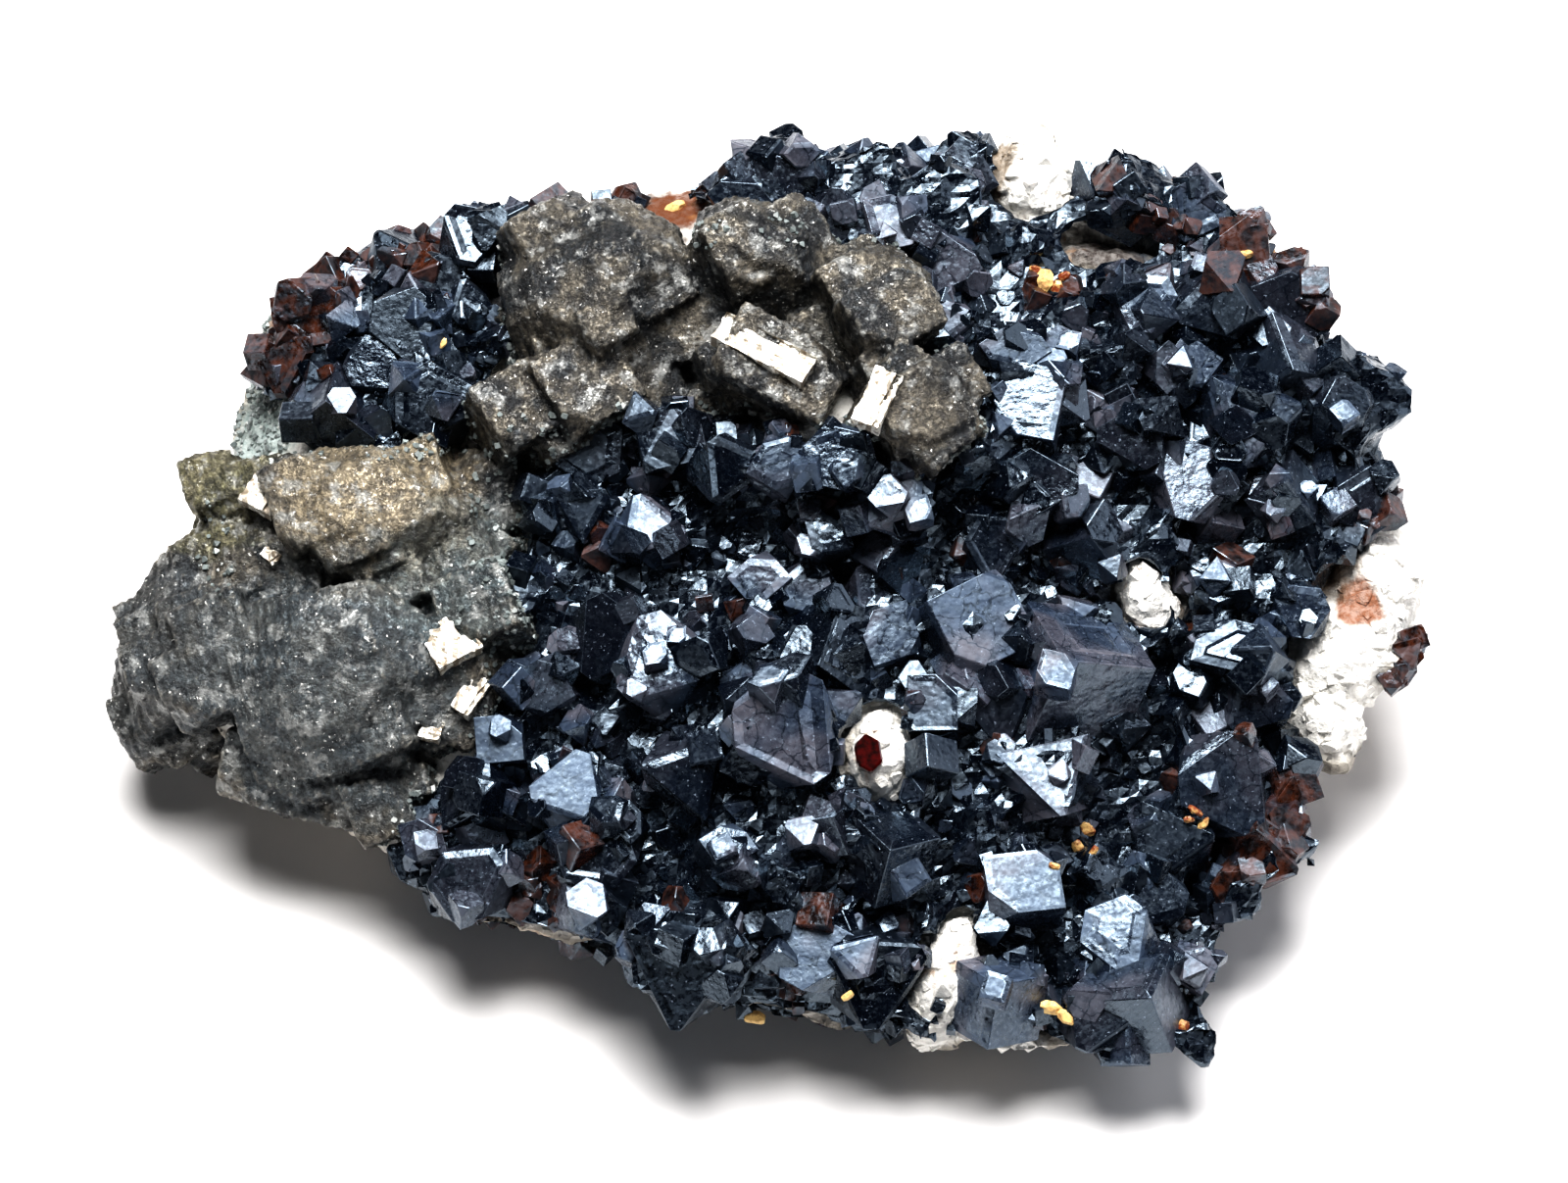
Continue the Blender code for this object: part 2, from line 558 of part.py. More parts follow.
def main():
    clear_scene()
    specimen = collection("sphalerite_specimen")
    cutters = collection("cutters")
    finishes = {name: material(name) for name in COLOURS}
    bare_rock = rock_body()
    tree = BVHTree.FromBMesh(bare_rock)
    bare_rock.free()

    rock = rock_with_knobs("matrix_rock", tree, cutters)
    metal = [
        galena("galena_upper", UPPER_GALENA, tree, cutters),
        galena("galena_lower", LOWER_GALENA, tree, cutters),
    ]
    blende = [
        druse("sphalerite_main", MAIN_CRYSTALS, MAIN_OUTLINE, MAIN_FILL, tree, cutters),
        druse("sphalerite_left", LEFT_CRYSTALS, LEFT_OUTLINE, LEFT_FILL, tree, cutters),
    ]
    spur = druse("sphalerite_spur", SPUR_CRYSTALS, SPUR_OUTLINE, SPUR_FILL, tree, cutters)
    for piece in [*metal, *blende, spur]:
        combine(piece, rock_with_knobs("grown_rock", tree, cutters, GAP), "DIFFERENCE")
    combine(metal[1], galena("grown_galena", UPPER_GALENA, tree, cutters, GAP), "DIFFERENCE")
    for piece in blende:
        for crystals in (UPPER_GALENA, LOWER_GALENA):
            combine(piece, galena("grown_galena", crystals, tree, cutters, GAP), "DIFFERENCE")

    finish(rock, "white_rock", finishes, specimen, cutters)
    for piece in metal:
        finish(piece, "grey_galena", finishes, specimen, cutters)
    for piece in blende:
        finish(piece, "black_blende", finishes, specimen, cutters)
    finish(spur, "brown_blende", finishes, specimen, cutters)
    stand_over_origin([rock, *metal, *blende, spur])


main()
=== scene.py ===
"""Finish for a sphalerite specimen: black blende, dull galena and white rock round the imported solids."""
import math
import random

import bmesh
import bpy
from bpy.props import FloatProperty, FloatVectorProperty, IntProperty, PointerProperty
from bpy.types import Operator, Panel, PropertyGroup
from mathutils import Matrix, Vector
from mathutils.bvhtree import BVHTree


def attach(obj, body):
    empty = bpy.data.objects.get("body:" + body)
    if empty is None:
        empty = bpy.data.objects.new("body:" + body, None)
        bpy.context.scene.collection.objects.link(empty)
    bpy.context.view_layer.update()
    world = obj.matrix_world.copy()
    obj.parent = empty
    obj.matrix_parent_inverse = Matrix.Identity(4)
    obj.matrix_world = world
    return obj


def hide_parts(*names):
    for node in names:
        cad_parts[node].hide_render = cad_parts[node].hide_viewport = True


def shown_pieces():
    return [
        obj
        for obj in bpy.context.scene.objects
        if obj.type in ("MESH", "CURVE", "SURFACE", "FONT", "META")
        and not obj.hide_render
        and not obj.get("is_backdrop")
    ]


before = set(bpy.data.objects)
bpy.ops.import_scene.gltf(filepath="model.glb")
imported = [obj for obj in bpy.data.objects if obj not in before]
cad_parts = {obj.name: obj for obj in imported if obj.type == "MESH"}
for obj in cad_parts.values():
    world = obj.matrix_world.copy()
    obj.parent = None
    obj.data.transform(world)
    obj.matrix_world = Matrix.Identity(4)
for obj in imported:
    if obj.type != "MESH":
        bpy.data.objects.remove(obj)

bl_info = {
    "name": "Sphalerite Specimen",
    "version": (1, 0, 0),
    "blender": (4, 5, 0),
    "location": "3D View > Sidebar > Specimen",
    "description": "Dresses a sphalerite, galena and matrix specimen",
    "category": "Object",
}

MM = 0.001
BODY = "root"
RNG = random.Random()
SEEDS = {"blende": 30, "small crystals": 37, "galena": 52, "frost": 23, "grains": 24}

# The picture that places are read from: its middle, its scale, and the eye in front of it
PICTURE_SIZE = (1600, 1207)
PIXELS_PER_MM = 16.6
VIEW_ELEVATION = math.radians(55)
VIEW_DISTANCE = 420 * MM
VIEW_TARGET = Vector((0.83, 1.13, 13.0)) * MM
RIGHT = Vector((1, 0, 0))
UP = Vector((0, math.sin(VIEW_ELEVATION), math.cos(VIEW_ELEVATION)))
TOWARDS = Vector((0, -math.cos(VIEW_ELEVATION), math.sin(VIEW_ELEVATION)))
EYE = VIEW_TARGET + TOWARDS * VIEW_DISTANCE
SENSOR_WIDTH = 36.0

# Lights: name, place, size, power in watts and colour, and the faint light from all round
LIGHT_PLACE = Vector((-0.02, 0.15, 0.57))
LIGHTS = [
    ("overhead", LIGHT_PLACE, 0.36, 6.3, (1.0, 0.985, 0.97)),
    ("window", Vector((0.46, 0.10, 0.30)), 0.50, 1.1, (0.94, 0.95, 1.0)),
    ("front", Vector((-0.30, -0.45, 0.40)), 0.20, 0.3, (0.95, 0.97, 1.0)),
]
AMBIENT_COLOUR = (1.0, 0.95, 0.95, 1)
AMBIENT_STRENGTH = 0.010
FLOOR_SIZE = 3

# Faces of each form, and how far from the centre each habit has them, over its radius
FORMS = {
    "tetrahedron": [(1, 1, 1), (1, -1, -1), (-1, 1, -1), (-1, -1, 1)],
    "counter": [(-1, -1, -1), (-1, 1, 1), (1, -1, 1), (1, 1, -1)],
    "cube": [(1, 0, 0), (-1, 0, 0), (0, 1, 0), (0, -1, 0), (0, 0, 1), (0, 0, -1)],
    "dodecahedron": [
        (1, 1, 0), (1, -1, 0), (-1, 1, 0), (-1, -1, 0), (1, 0, 1), (1, 0, -1),
        (-1, 0, 1), (-1, 0, -1), (0, 1, 1), (0, 1, -1), (0, -1, 1), (0, -1, -1),
    ],
}
HABITS = {
    "table": {"tetrahedron": 0.62, "counter": 0.84},
    "octa": {"tetrahedron": 0.70, "counter": 0.78},
    "apex": {"cube": 0.70},
    "block": {"cube": 0.72, "tetrahedron": 0.98},
    "lump": {"cube": 0.84, "tetrahedron": 0.87, "counter": 0.87, "dodecahedron": 0.92},
}
STANDS_ON_DIAGONAL = ("table", "octa", "apex")
FACE_SCATTER = 0.16

# Growth plates of the crystals of each kind, and how far their edges are worn, over their radius
LARGE_PLATES, LARGE_WEAR = 6, 0.018
SHINING_PLATES, SHINING_WEAR = 5, 0.03
MIDDLING_PLATES, MIDDLING_WEAR = 2, 0.035
SMALL_WEAR = 0.05
WHITE_WEAR = 0.08
BLOCK_PLATES, BLOCK_WEAR = 2, 0.03

# Crystals that can be told apart: picture x, picture y, breadth in mm, habit, lean to the right,
# lean up and spin in degrees, and tone: 0 is black, 1 is slate grey, and above 1 it turns brown
MAIN_CRYSTALS = [
    (988, 638, 7.6, "block", 14, 12, 28, 0.8), (800, 742, 7.8, "table", 8, 4, 200, 0.8),
    (1098, 690, 8.6, "apex", -6, 10, 75, 0.8), (1214, 497, 5.8, "table", 4, 16, 30, 0.7),
    (1268, 432, 6.8, "octa", 6, 6, 150, 0.5), (902, 868, 6.6, "apex", 0, 4, 90, 0.15),
    (1036, 912, 6.2, "block", 4, 24, 8, 0.65), (832, 972, 6.4, "table", -4, 12, 15, 0.7),
    (705, 975, 8.2, "octa", -8, -14, 40, 0), (892, 990, 6.4, "octa", 10, -8, 40, 0.05),
    (1018, 1018, 5.6, "apex", 0, 16, 95, 0.8), (1066, 795, 6.6, "octa", 6, 22, 60, 0.6),
    (1238, 800, 7.0, "table", 10, 4, 80, 0.35), (1192, 858, 5.6, "octa", -10, 4, 20, 0.2),
    (1252, 672, 5.4, "block", 0, 26, 75, 0.3), (1276, 712, 5.0, "table", 8, -4, 0, 0.45),
    (1240, 598, 3.8, "block", -4, 18, 20, 0.8), (1322, 624, 3.8, "table", 8, 10, 40, 0.55),
    (582, 808, 5.4, "table", -2, 20, 85, 1.0), (516, 758, 4.0, "block", -4, 10, 5, 0.55),
    (482, 902, 5.4, "table", -6, 6, 50, 0.3), (662, 546, 4.8, "octa", 6, 22, 5, 0.7),
    (776, 596, 4.0, "block", -8, 14, 40, 0.7), (822, 604, 3.8, "table", 6, 14, 90, 0.6),
    (838, 546, 3.6, "block", 8, 16, 15, 0.3), (898, 602, 4.6, "table", 10, 8, 140, 0.6),
    (910, 512, 5.0, "octa", -14, 18, 10, 0.9), (858, 472, 4.8, "table", -6, 10, 30, 0.5),
    (792, 474, 4.2, "block", 4, 6, 60, 0.5), (744, 476, 4.6, "octa", 12, -6, 20, 0.1),
    (606, 462, 5.0, "table", -8, 8, 70, 0.2), (684, 452, 5.0, "block", 0, 12, 12, 0.3),
    (562, 516, 3.6, "apex", 0, 10, 0, 0.25), (598, 520, 4.2, "octa", -10, 4, 45, 0.25),
    (618, 650, 5.6, "table", 10, -4, 10, 0.15), (676, 680, 6.4, "octa", -4, 20, 120, 0.6),
    (850, 662, 6.4, "apex", -10, -10, 30, 0.0), (904, 650, 4.4, "block", 6, 16, 110, 0.7),
    (954, 724, 4.6, "block", -6, 14, 0, 0.4), (1012, 724, 4.6, "octa", 8, -10, 55, 0.25),
    (846, 846, 4.0, "apex", 0, 20, 10, 0.25), (738, 870, 3.8, "block", 10, 22, 35, 0.5),
    (616, 868, 5.6, "table", -4, 8, 95, 0.2), (604, 925, 4.2, "octa", 6, 24, 30, 0.7),
    (438, 858, 3.4, "block", -12, 8, 15, 0.6), (496, 822, 5.0, "apex", 6, 0, 45, 0.15),
    (1136, 955, 4.8, "table", -8, 18, 65, 1.0), (1158, 1022, 5.6, "apex", 8, 10, 15, 0.4),
    (1212, 990, 3.8, "block", 14, 14, 60, 0.9), (1178, 912, 4.4, "table", 4, 6, 120, 0.25),
    (1052, 418, 6.0, "block", -4, 16, -12, 0.6), (1078, 368, 4.0, "octa", -10, 14, 80, 0.9),
    (966, 330, 3.6, "table", -6, 12, 20, 0.6), (962, 276, 4.8, "octa", -4, 8, 130, 0.6),
    (1032, 362, 4.4, "block", 6, 10, 35, 0.55), (1160, 312, 5.0, "table", 2, 14, 160, 0.7),
    (1208, 376, 3.8, "block", 12, 20, 55, 0.8), (1362, 412, 6.4, "lump", 14, 4, 15, 0.2),
    (1302, 372, 5.4, "apex", 6, -6, 60, 0.25), (1238, 312, 5.4, "octa", 0, 0, 90, 0.25),
    (1304, 316, 5.6, "block", 12, -6, 20, 0.25), (1308, 508, 4.8, "apex", 0, 12, 30, 0.25),
    (1380, 512, 4.6, "table", 20, 0, 75, 0.25), (1116, 1040, 4.0, "octa", 0, 8, 20, 0.25),
    (1150, 448, 5.0, "table", 0, 4, 75, 0.25), (1060, 500, 5.0, "octa", -4, 6, 15, 0.25),
    (1010, 560, 4.6, "table", 10, 0, 45, 0.25), (1112, 560, 5.0, "apex", 0, 8, 25, 0.25),
    (700, 790, 5.4, "octa", 4, -2, 65, 0.25), (560, 700, 5.0, "block", -10, 0, 30, 0.25),
    (1318, 800, 3.4, "block", 14, 4, 20, 1.3), (1298, 838, 4.0, "table", 10, 0, 70, 1.2),
    (1326, 862, 3.4, "octa", 18, 4, 30, 1.7), (1290, 880, 4.2, "octa", 8, -8, 0, 1.6),
    (1262, 915, 3.8, "table", 12, -6, 45, 1.3), (800, 186, 4.6, "octa", -6, 2, 30, 0.25),
    (880, 194, 5.0, "table", 0, 8, 70, 0.25), (955, 214, 5.6, "table", 4, 4, 20, 0.5),
    (760, 206, 3.8, "block", -8, 6, 40, 0.25), (905, 236, 4.2, "block", 8, 18, 15, 0.8),
    (1150, 212, 4.4, "apex", 0, 6, 55, 0.6), (1215, 222, 4.2, "octa", 8, 2, 10, 0.55),
    (1262, 252, 4.0, "table", 14, -4, 80, 1.3), (850, 232, 4.6, "octa", -4, 0, 100, 0.25),
    (990, 184, 3.6, "block", 6, 0, 30, 0.25),
]
LEFT_CRYSTALS = [
    (350, 424, 5.6, "apex", -6, 14, 40, 0.35), (446, 412, 6.2, "table", 4, 4, 15, 0.1),
    (418, 336, 5.6, "table", -2, 6, 65, 0.05), (408, 266, 4.2, "octa", -4, 0, 20, 0.1),
    (448, 290, 3.8, "block", 6, 4, 70, 0.1), (484, 244, 4.4, "octa", 4, 16, 35, 0.15),
    (476, 312, 3.2, "table", 12, 6, 0, 0.25), (326, 330, 5.6, "block", -14, 4, 8, 1.3),
    (384, 376, 4.0, "table", -6, 10, 100, 0.25), (300, 372, 4.2, "octa", -18, 0, 45, 1.4),
    (466, 204, 3.4, "octa", -6, 4, 10, 0.4), (512, 200, 3.8, "block", 4, 8, 30, 0.9),
    (560, 198, 3.4, "table", 8, 0, 70, 0.5), (606, 200, 3.6, "lump", 0, 4, 40, 1.5),
    (640, 206, 2.6, "lump", 10, 0, 15, 1.7),
]
SPUR_CRYSTALS = [
    (1440, 652, 2.1, "block", 10, 6, 20, 1.9), (1428, 663, 2.2, "octa", 4, 2, 60, 1.6),
    (1415, 676, 2.4, "lump", 0, 0, 10, 1.8), (1404, 689, 2.0, "block", -6, 8, 40, 1.5),
    (1396, 701, 1.7, "octa", 4, -4, 0, 1.9), (1437, 670, 1.7, "table", 12, -8, 30, 1.4),
]
LISTED = {
    "sphalerite_main": MAIN_CRYSTALS, "sphalerite_left": LEFT_CRYSTALS, "sphalerite_spur": SPUR_CRYSTALS,
}

# The crust under the crystals: its thickness, mesh size and tone, and how far it lies under its solid
CRUST_THICKNESS = 1.5 * MM
MASSIVE_GRAIN = 0.6 * MM
MASSIVE_TONE = 0.05
SUNK_SHARE, SUNK_LEAST = 0.3, 0.02 * MM

# How far listed and shining crystals stand out of what is under them, over their breadth
RAISED = 0.1

# Height of a point over its neighbours that changes its ridge value by 1, and the highest point
RIDGE_SPAN = 0.08 * MM
HIGHEST = 30.4 * MM

# Where unlisted crystals grow: share of each crust, places tried for each crystal, height over the
# rock and over the floor, how far the ground may overhang, and from where on it faces the eye
SHARES = {"sphalerite_main": 0.88, "sphalerite_left": 0.12}
TRIES = 7
LEAST_CRUST = 0.5 * MM
MIDDLING_DEPTH = 9 * MM
LEAST_HEIGHT = 3 * MM
OVERHANG = -0.3
FACES_EYE = 0.3

# How they grow: how far they sink in, over their breadth, and how much their direction strays
SUNK = 0.06
STRAY = 0.4

# Broad light crystals, from a breadth in mm and a tone on, stay clear of them to this share of a breadth
BROAD, LIGHT, KEPT_CLEAR = 5.5, 0.55, 0.34

# Faces that mirror the light: picture x, picture y, breadth in mm, tone
SHINING = [
    (732, 638, 1.6, 0.9), (905, 506, 2.6, 1.0), (936, 524, 2.0, 1.0), (668, 672, 1.8, 0.9),
    (690, 650, 1.4, 0.9), (648, 706, 1.5, 0.8), (704, 734, 2.2, 1.0), (826, 560, 1.9, 1.0),
    (600, 922, 2.9, 0.9), (436, 862, 1.7, 0.9), (350, 411, 2.0, 0.9), (1078, 690, 2.8, 0.9),
    (1026, 762, 1.5, 0.9), (1080, 790, 1.6, 0.9), (820, 850, 2.4, 0.7), (798, 858, 1.4, 0.9),
    (1016, 1010, 2.4, 0.9), (1216, 990, 2.2, 1.0), (1270, 500, 1.3, 1.0), (1300, 520, 1.6, 1.0),
    (1334, 500, 1.2, 1.0), (1320, 572, 1.3, 0.9), (1240, 590, 2.4, 0.8), (1072, 372, 2.6, 0.9),
    (1090, 352, 1.7, 0.9), (905, 240, 1.5, 1.0), (1205, 372, 2.0, 0.8), (1370, 424, 2.0, 0.7),
    (1290, 700, 1.8, 0.8), (1232, 800, 1.6, 0.8), (738, 866, 2.0, 0.7), (776, 700, 1.2, 0.8),
    (1206, 250, 1.8, 0.7), (512, 744, 1.6, 0.7), (560, 560, 1.4, 0.6), (990, 470, 1.8, 0.5),
]

# Rusty places, where small crystals are brown: picture x, picture y, reach, in pixels
RUSTY = [
    (1200, 235, 40), (1330, 270, 36), (1395, 520, 26), (1060, 280, 34), (960, 560, 26),
    (285, 320, 50), (340, 262, 42), (420, 235, 46), (1280, 240, 62), (1074, 290, 30),
    (1300, 870, 52), (1330, 810, 34), (540, 945, 60), (690, 205, 30), (820, 1010, 40),
]

# Relief: pattern, size and depth in mm, detail, and the group of points it is kept to
ROCK_RELIEF = [
    ("VORONOI", 5.5, 2.6, 2, "sides"), ("CLOUDS", 3.0, 1.3, 4, "sides"),
    ("CLOUDS", 1.7, 0.6, 4, ""), ("STUCCI", 0.7, 0.3, 2, ""),
]
GALENA_RELIEF = [("CLOUDS", 1.6, 0.10, 3), ("STUCCI", 0.5, 0.08, 2)]
BLENDE_RELIEF = ("VORONOI", 1.4, 0.5)
CLEAVED_RELIEF = ("CLOUDS", 0.9, 0.4)

# Edges of stacked plates on the galena: how they lie in degrees, their spacing and depth
PLATE_TURN = (50, 35, 10)
PLATE_SPACING = 1.6 * MM
PLATE_DEPTH = 0.20 * MM

# Rock is a broken side where its normal has less height than this, and wholly one a span below that
STEEP_FROM, STEEP_SPAN = 0.62, 0.3
FOOT_HEIGHT = 0.4 * MM

# Growth blocks on the galena: lean to the right, lean up and spin in degrees, and their number
GALENA_BLOCKS = {"galena_upper": (12, 14, 32, 40), "galena_lower": (-14, 10, 20, 50)}

# Half breadth and rise of a growth block in mm, and the rise where a face looks up the picture
BLOCK_HALF = (1.6, 3.8)
BLOCK_RISE = (0.2, 0.8)
TOP_RISE = 0.05 * MM

# Low galena steps on the rock: picture x, picture y, breadth and rise over the rock in mm
GALENA_LEDGES = {
    "galena_upper": [
        (545, 372, 4.2, 0.9), (575, 412, 3.4, 0.6), (625, 410, 4.4, 1.0), (672, 398, 4.0, 0.9),
        (534, 330, 3.6, 0.9), (712, 420, 3.2, 0.5), (600, 436, 2.4, 0.3), (752, 404, 3.6, 0.8),
    ],
    "galena_lower": [
        (228, 545, 4.2, 0.8), (250, 590, 3.6, 0.8), (505, 480, 3.4, 0.6), (505, 560, 3.6, 0.8),
        (496, 640, 3.4, 0.8), (470, 730, 3.4, 0.7), (372, 820, 3.4, 0.6), (420, 800, 3.2, 0.8),
        (540, 455, 2.6, 0.3),
    ],
}

# Tints of the galena: centre and reach in mm, colour and strength
GALENA_ZONES = [
    ((-24, 4, 19), 6.5, (0.52, 0.44, 0.31), 0.65), ((-27, -6, 13), 9, (0.13, 0.155, 0.17), 0.75),
    ((-37, -2, 10), 7, (0.115, 0.13, 0.14), 0.7), ((-19, 0, 15), 6, (0.16, 0.20, 0.21), 0.6),
    ((-34, 7, 15), 5, (0.34, 0.32, 0.17), 0.45), ((4, 12, 22), 5, (0.12, 0.13, 0.13), 0.5),
]

# Stains of the rock: picture x, picture y, reach in mm, colour
ROCK_STAINS = [
    (690, 420, 7, (0.055, 0.065, 0.070)), (540, 205, 7, (0.050, 0.050, 0.055)),
    (620, 195, 5, (0.075, 0.035, 0.020)), (470, 205, 5, (0.085, 0.100, 0.125)),
    (260, 410, 6, (0.32, 0.39, 0.38)), (290, 300, 5, (0.16, 0.045, 0.012)),
    (390, 222, 5, (0.16, 0.045, 0.012)), (262, 300, 4, (0.12, 0.032, 0.010)),
    (690, 212, 2.2, (0.16, 0.048, 0.012)), (1290, 230, 6, (0.17, 0.060, 0.030)),
    (1142, 256, 5.0, (0.060, 0.045, 0.040)), (1240, 190, 6, (0.14, 0.17, 0.21)),
    (1385, 616, 1.6, (0.28, 0.11, 0.05)), (520, 945, 4, (0.14, 0.045, 0.028)),
    (1340, 270, 4, (0.42, 0.26, 0.14)),
    (975, 140, 2.2, (0.30, 0.24, 0.18)), (1330, 560, 3.5, (0.30, 0.20, 0.13)),
]

# Galena strewn with fine pale grains: picture x, picture y, half width, half height
GRAINY = [
    (262, 400, 44, 80), (508, 540, 30, 90), (500, 640, 34, 60), (220, 560, 20, 60), (560, 430, 60, 14),
    (400, 460, 90, 10), (732, 240, 30, 16), (808, 232, 32, 20),
]

# White rock that stays open between the crystals: picture x, picture y, half width, half height
WINDOWS = [
    (1168, 618, 34, 52), (900, 776, 32, 44), (964, 1004, 40, 70), (1054, 194, 56, 58),
    (1400, 610, 60, 60), (1360, 700, 50, 70), (990, 1064, 80, 16),
]

# Brown ledge at the back: picture x, picture y, half width, half height, and how much it is worn
WORN_LEDGE = (1132, 250, 66, 50)
LEDGE_WEAR = 2.4 * MM

# Bright cleaved bars on galena: picture x, y of both ends, breadth and height in mm
CLEAVED_BARS = [
    (736, 328, 824, 384, 1.9, 1.1), (906, 378, 884, 436, 1.7, 1.0), (868, 414, 852, 438, 0.8, 0.7),
    (448, 634, 470, 674, 2.9, 1.0), (492, 690, 470, 728, 1.3, 0.8), (430, 742, 450, 748, 1.2, 0.6),
    (276, 490, 262, 520, 2.2, 1.0), (280, 562, 272, 572, 1.1, 0.6),
]

# Grains of iron-stained carbonate: picture x, y, breadth in mm
OCHRE_GRAINS = [
    (1220, 828, 0.9), (1228, 840, 0.8), (1213, 836, 0.6), (1108, 846, 1.0), (1100, 864, 0.8),
    (1116, 868, 0.7), (1076, 884, 0.7), (865, 1016, 0.8), (452, 350, 0.6), (1072, 1028, 1.2),
    (1088, 1038, 1.0), (1206, 1050, 1.2), (770, 1038, 1.3), (790, 1040, 1.1), (1066, 286, 1.3),
    (1078, 296, 1.1), (1058, 276, 0.9), (1086, 282, 0.8), (1270, 260, 1.0), (690, 212, 1.2),
]
RUBY_PLACE = (886, 770)
RUBY_SIZE = Vector((1.8, 2.4, 1.5)) * MM
RUBY_LEAN, RUBY_SPIN = 0.2, 0.15

# Fine cracks in the blende: how far apart they are, and how far they wander
CRACK_SPACING = 1.5 * MM
CRACK_DRIFT = 0.8 * MM

# Colours that the materials mix, besides the two in the settings
COLOURS = {
    "film": (0.074, 0.102, 0.158), "rosy film": (0.150, 0.135, 0.150), "sparkle speck": (0.42, 0.50, 0.62),
    "deep brown": (0.010, 0.004, 0.003), "clear brown": (0.085, 0.027, 0.012),
    "galena grey": (0.048, 0.054, 0.059), "galena brown": (0.225, 0.204, 0.166),
    "galena grain": (0.050, 0.047, 0.045), "galena hollow shade": (0.012, 0.016, 0.020),
    "galena ridge highlight": (0.55, 0.52, 0.45), "galena salt": (0.030, 0.031, 0.034),
    "galena glint patches": (0.44, 0.45, 0.44), "galena glint": (0.95, 0.95, 0.92),
    "cleavage": (0.80, 0.78, 0.72), "tarnish": (0.30, 0.25, 0.19),
    "rock shade": (0.90, 0.88, 0.83), "low rock": (0.33, 0.27, 0.21),
    "broken dark": (0.22, 0.20, 0.17), "broken pale": (0.60, 0.55, 0.47),
    "fleck": (0.022, 0.024, 0.030), "hollow darkening": (0.10, 0.075, 0.050), "rust": (0.50, 0.27, 0.12),
    "dark frost": (0.110, 0.145, 0.150), "pale frost": (0.42, 0.49, 0.49),
    "white frost": (0.85, 0.88, 0.86), "grey frost": (0.20, 0.21, 0.20),
    "rusty grain": (0.20, 0.045, 0.012), "yellow grain": (0.80, 0.56, 0.24),
    "deep red": (0.012, 0.001, 0.001), "bright red": (0.075, 0.003, 0.003),
    "floor": (0.90, 0.89, 0.89), "bright floor": (0.92, 0.91, 0.91),
}


class SpecimenSettings(PropertyGroup):
    """Sizes and colours that a user would change."""
    crystal_count: IntProperty(
        name="Small crystals", description="How many small crystals grow between the large ones",
        default=1500, min=0,
    )
    middling_count: IntProperty(
        name="Middling crystals", description="How many middling crystals grow on the large ones",
        default=400, min=0,
    )
    rim_count: IntProperty(
        name="Rim crystals", description="How many crystals grow on the back and the ends besides",
        default=320, min=0,
    )
    crystal_least: FloatProperty(
        name="Smallest crystal", description="Breadth of the smallest crystal",
        default=0.9 * MM, unit="LENGTH",
    )
    crystal_most: FloatProperty(
        name="Largest small crystal", description="Breadth of the largest of the small crystals",
        default=2.6 * MM, unit="LENGTH",
    )
    valley_depth: FloatProperty(
        name="Valley depth", description="How far over the rock small crystals still grow",
        default=2.3 * MM, unit="LENGTH",
    )
    galena_grain: FloatProperty(
        name="Galena mesh size", description="Edge length of the fine galena surface",
        default=0.22 * MM, unit="LENGTH",
    )
    rock_grain: FloatProperty(
        name="Rock mesh size", description="Edge length of the fine rock surface",
        default=0.36 * MM, unit="LENGTH",
    )
    blende_colour: FloatVectorProperty(
        name="Blende", description="Body colour of the black sphalerite", subtype="COLOR",
        default=(0.002, 0.004, 0.009), min=0, max=1,
    )
    rock_colour: FloatVectorProperty(
        name="Rock", description="Colour of the clean matrix rock", subtype="COLOR",
        default=(0.95, 0.935, 0.90), min=0, max=1,
    )


def settings():
    return bpy.context.scene.specimen


# Places

def sight_line(place):
    """Direction in which the eye sees a place of the picture."""
    right = (place[0] - PICTURE_SIZE[0] / 2) / PIXELS_PER_MM * MM
    up = (PICTURE_SIZE[1] / 2 - place[1]) / PIXELS_PER_MM * MM
    return (VIEW_TARGET + RIGHT * right + UP * up - EYE).normalized()


def in_picture(point):
    """Place of the picture where the eye sees a point."""
    ray = point - EYE
    scale = VIEW_DISTANCE / -ray.dot(TOWARDS) * PIXELS_PER_MM / MM
    return PICTURE_SIZE[0] / 2 + ray.dot(RIGHT) * scale, PICTURE_SIZE[1] / 2 - ray.dot(UP) * scale


def tree_of(*objects):
    """Search tree over the triangles of some meshes."""
    points, triangles = [], []
    for obj in objects:
        base = len(points)
        points += [vert.co for vert in obj.data.vertices]
        triangles += [[base + i for i in face.vertices] for face in obj.data.polygons]
    return BVHTree.FromPolygons(points, triangles)


def seen_on(tree, place):
    """The point of a surface at a place of the picture, or the nearest one to the sight line."""
    ray = sight_line(place)
    point = tree.ray_cast(EYE, ray)[0]
    if point is None:
        depth = (VIEW_TARGET - EYE).length
        point = tree.find_nearest(EYE + ray * depth)[0]
        point = tree.find_nearest(EYE + ray * (point - EYE).dot(ray))[0]
    return point


def mirror_direction():
    """The way a face points in which the eye sees the light."""
    return (TOWARDS + (LIGHT_PLACE - VIEW_TARGET).normalized()).normalized()


def turned_to(end, spin):
    """Rotation whose Z points along end, spun about it by an angle."""
    across = (RIGHT - end * end.dot(RIGHT)).normalized()
    turn = Matrix((across, end.cross(across), end)).transposed()
    return turn @ Matrix.Rotation(spin, 3, "Z")


def leaning(right, up, spin):
    """Rotation whose Z leans from the eye's direction, in degrees, and is spun about that."""
    end = TOWARDS + RIGHT * math.tan(math.radians(right)) + UP * math.tan(math.radians(up))
    return turned_to(end.normalized(), math.radians(spin))


# Mesh tools

def deselect():
    bpy.ops.object.select_all(action="DESELECT")


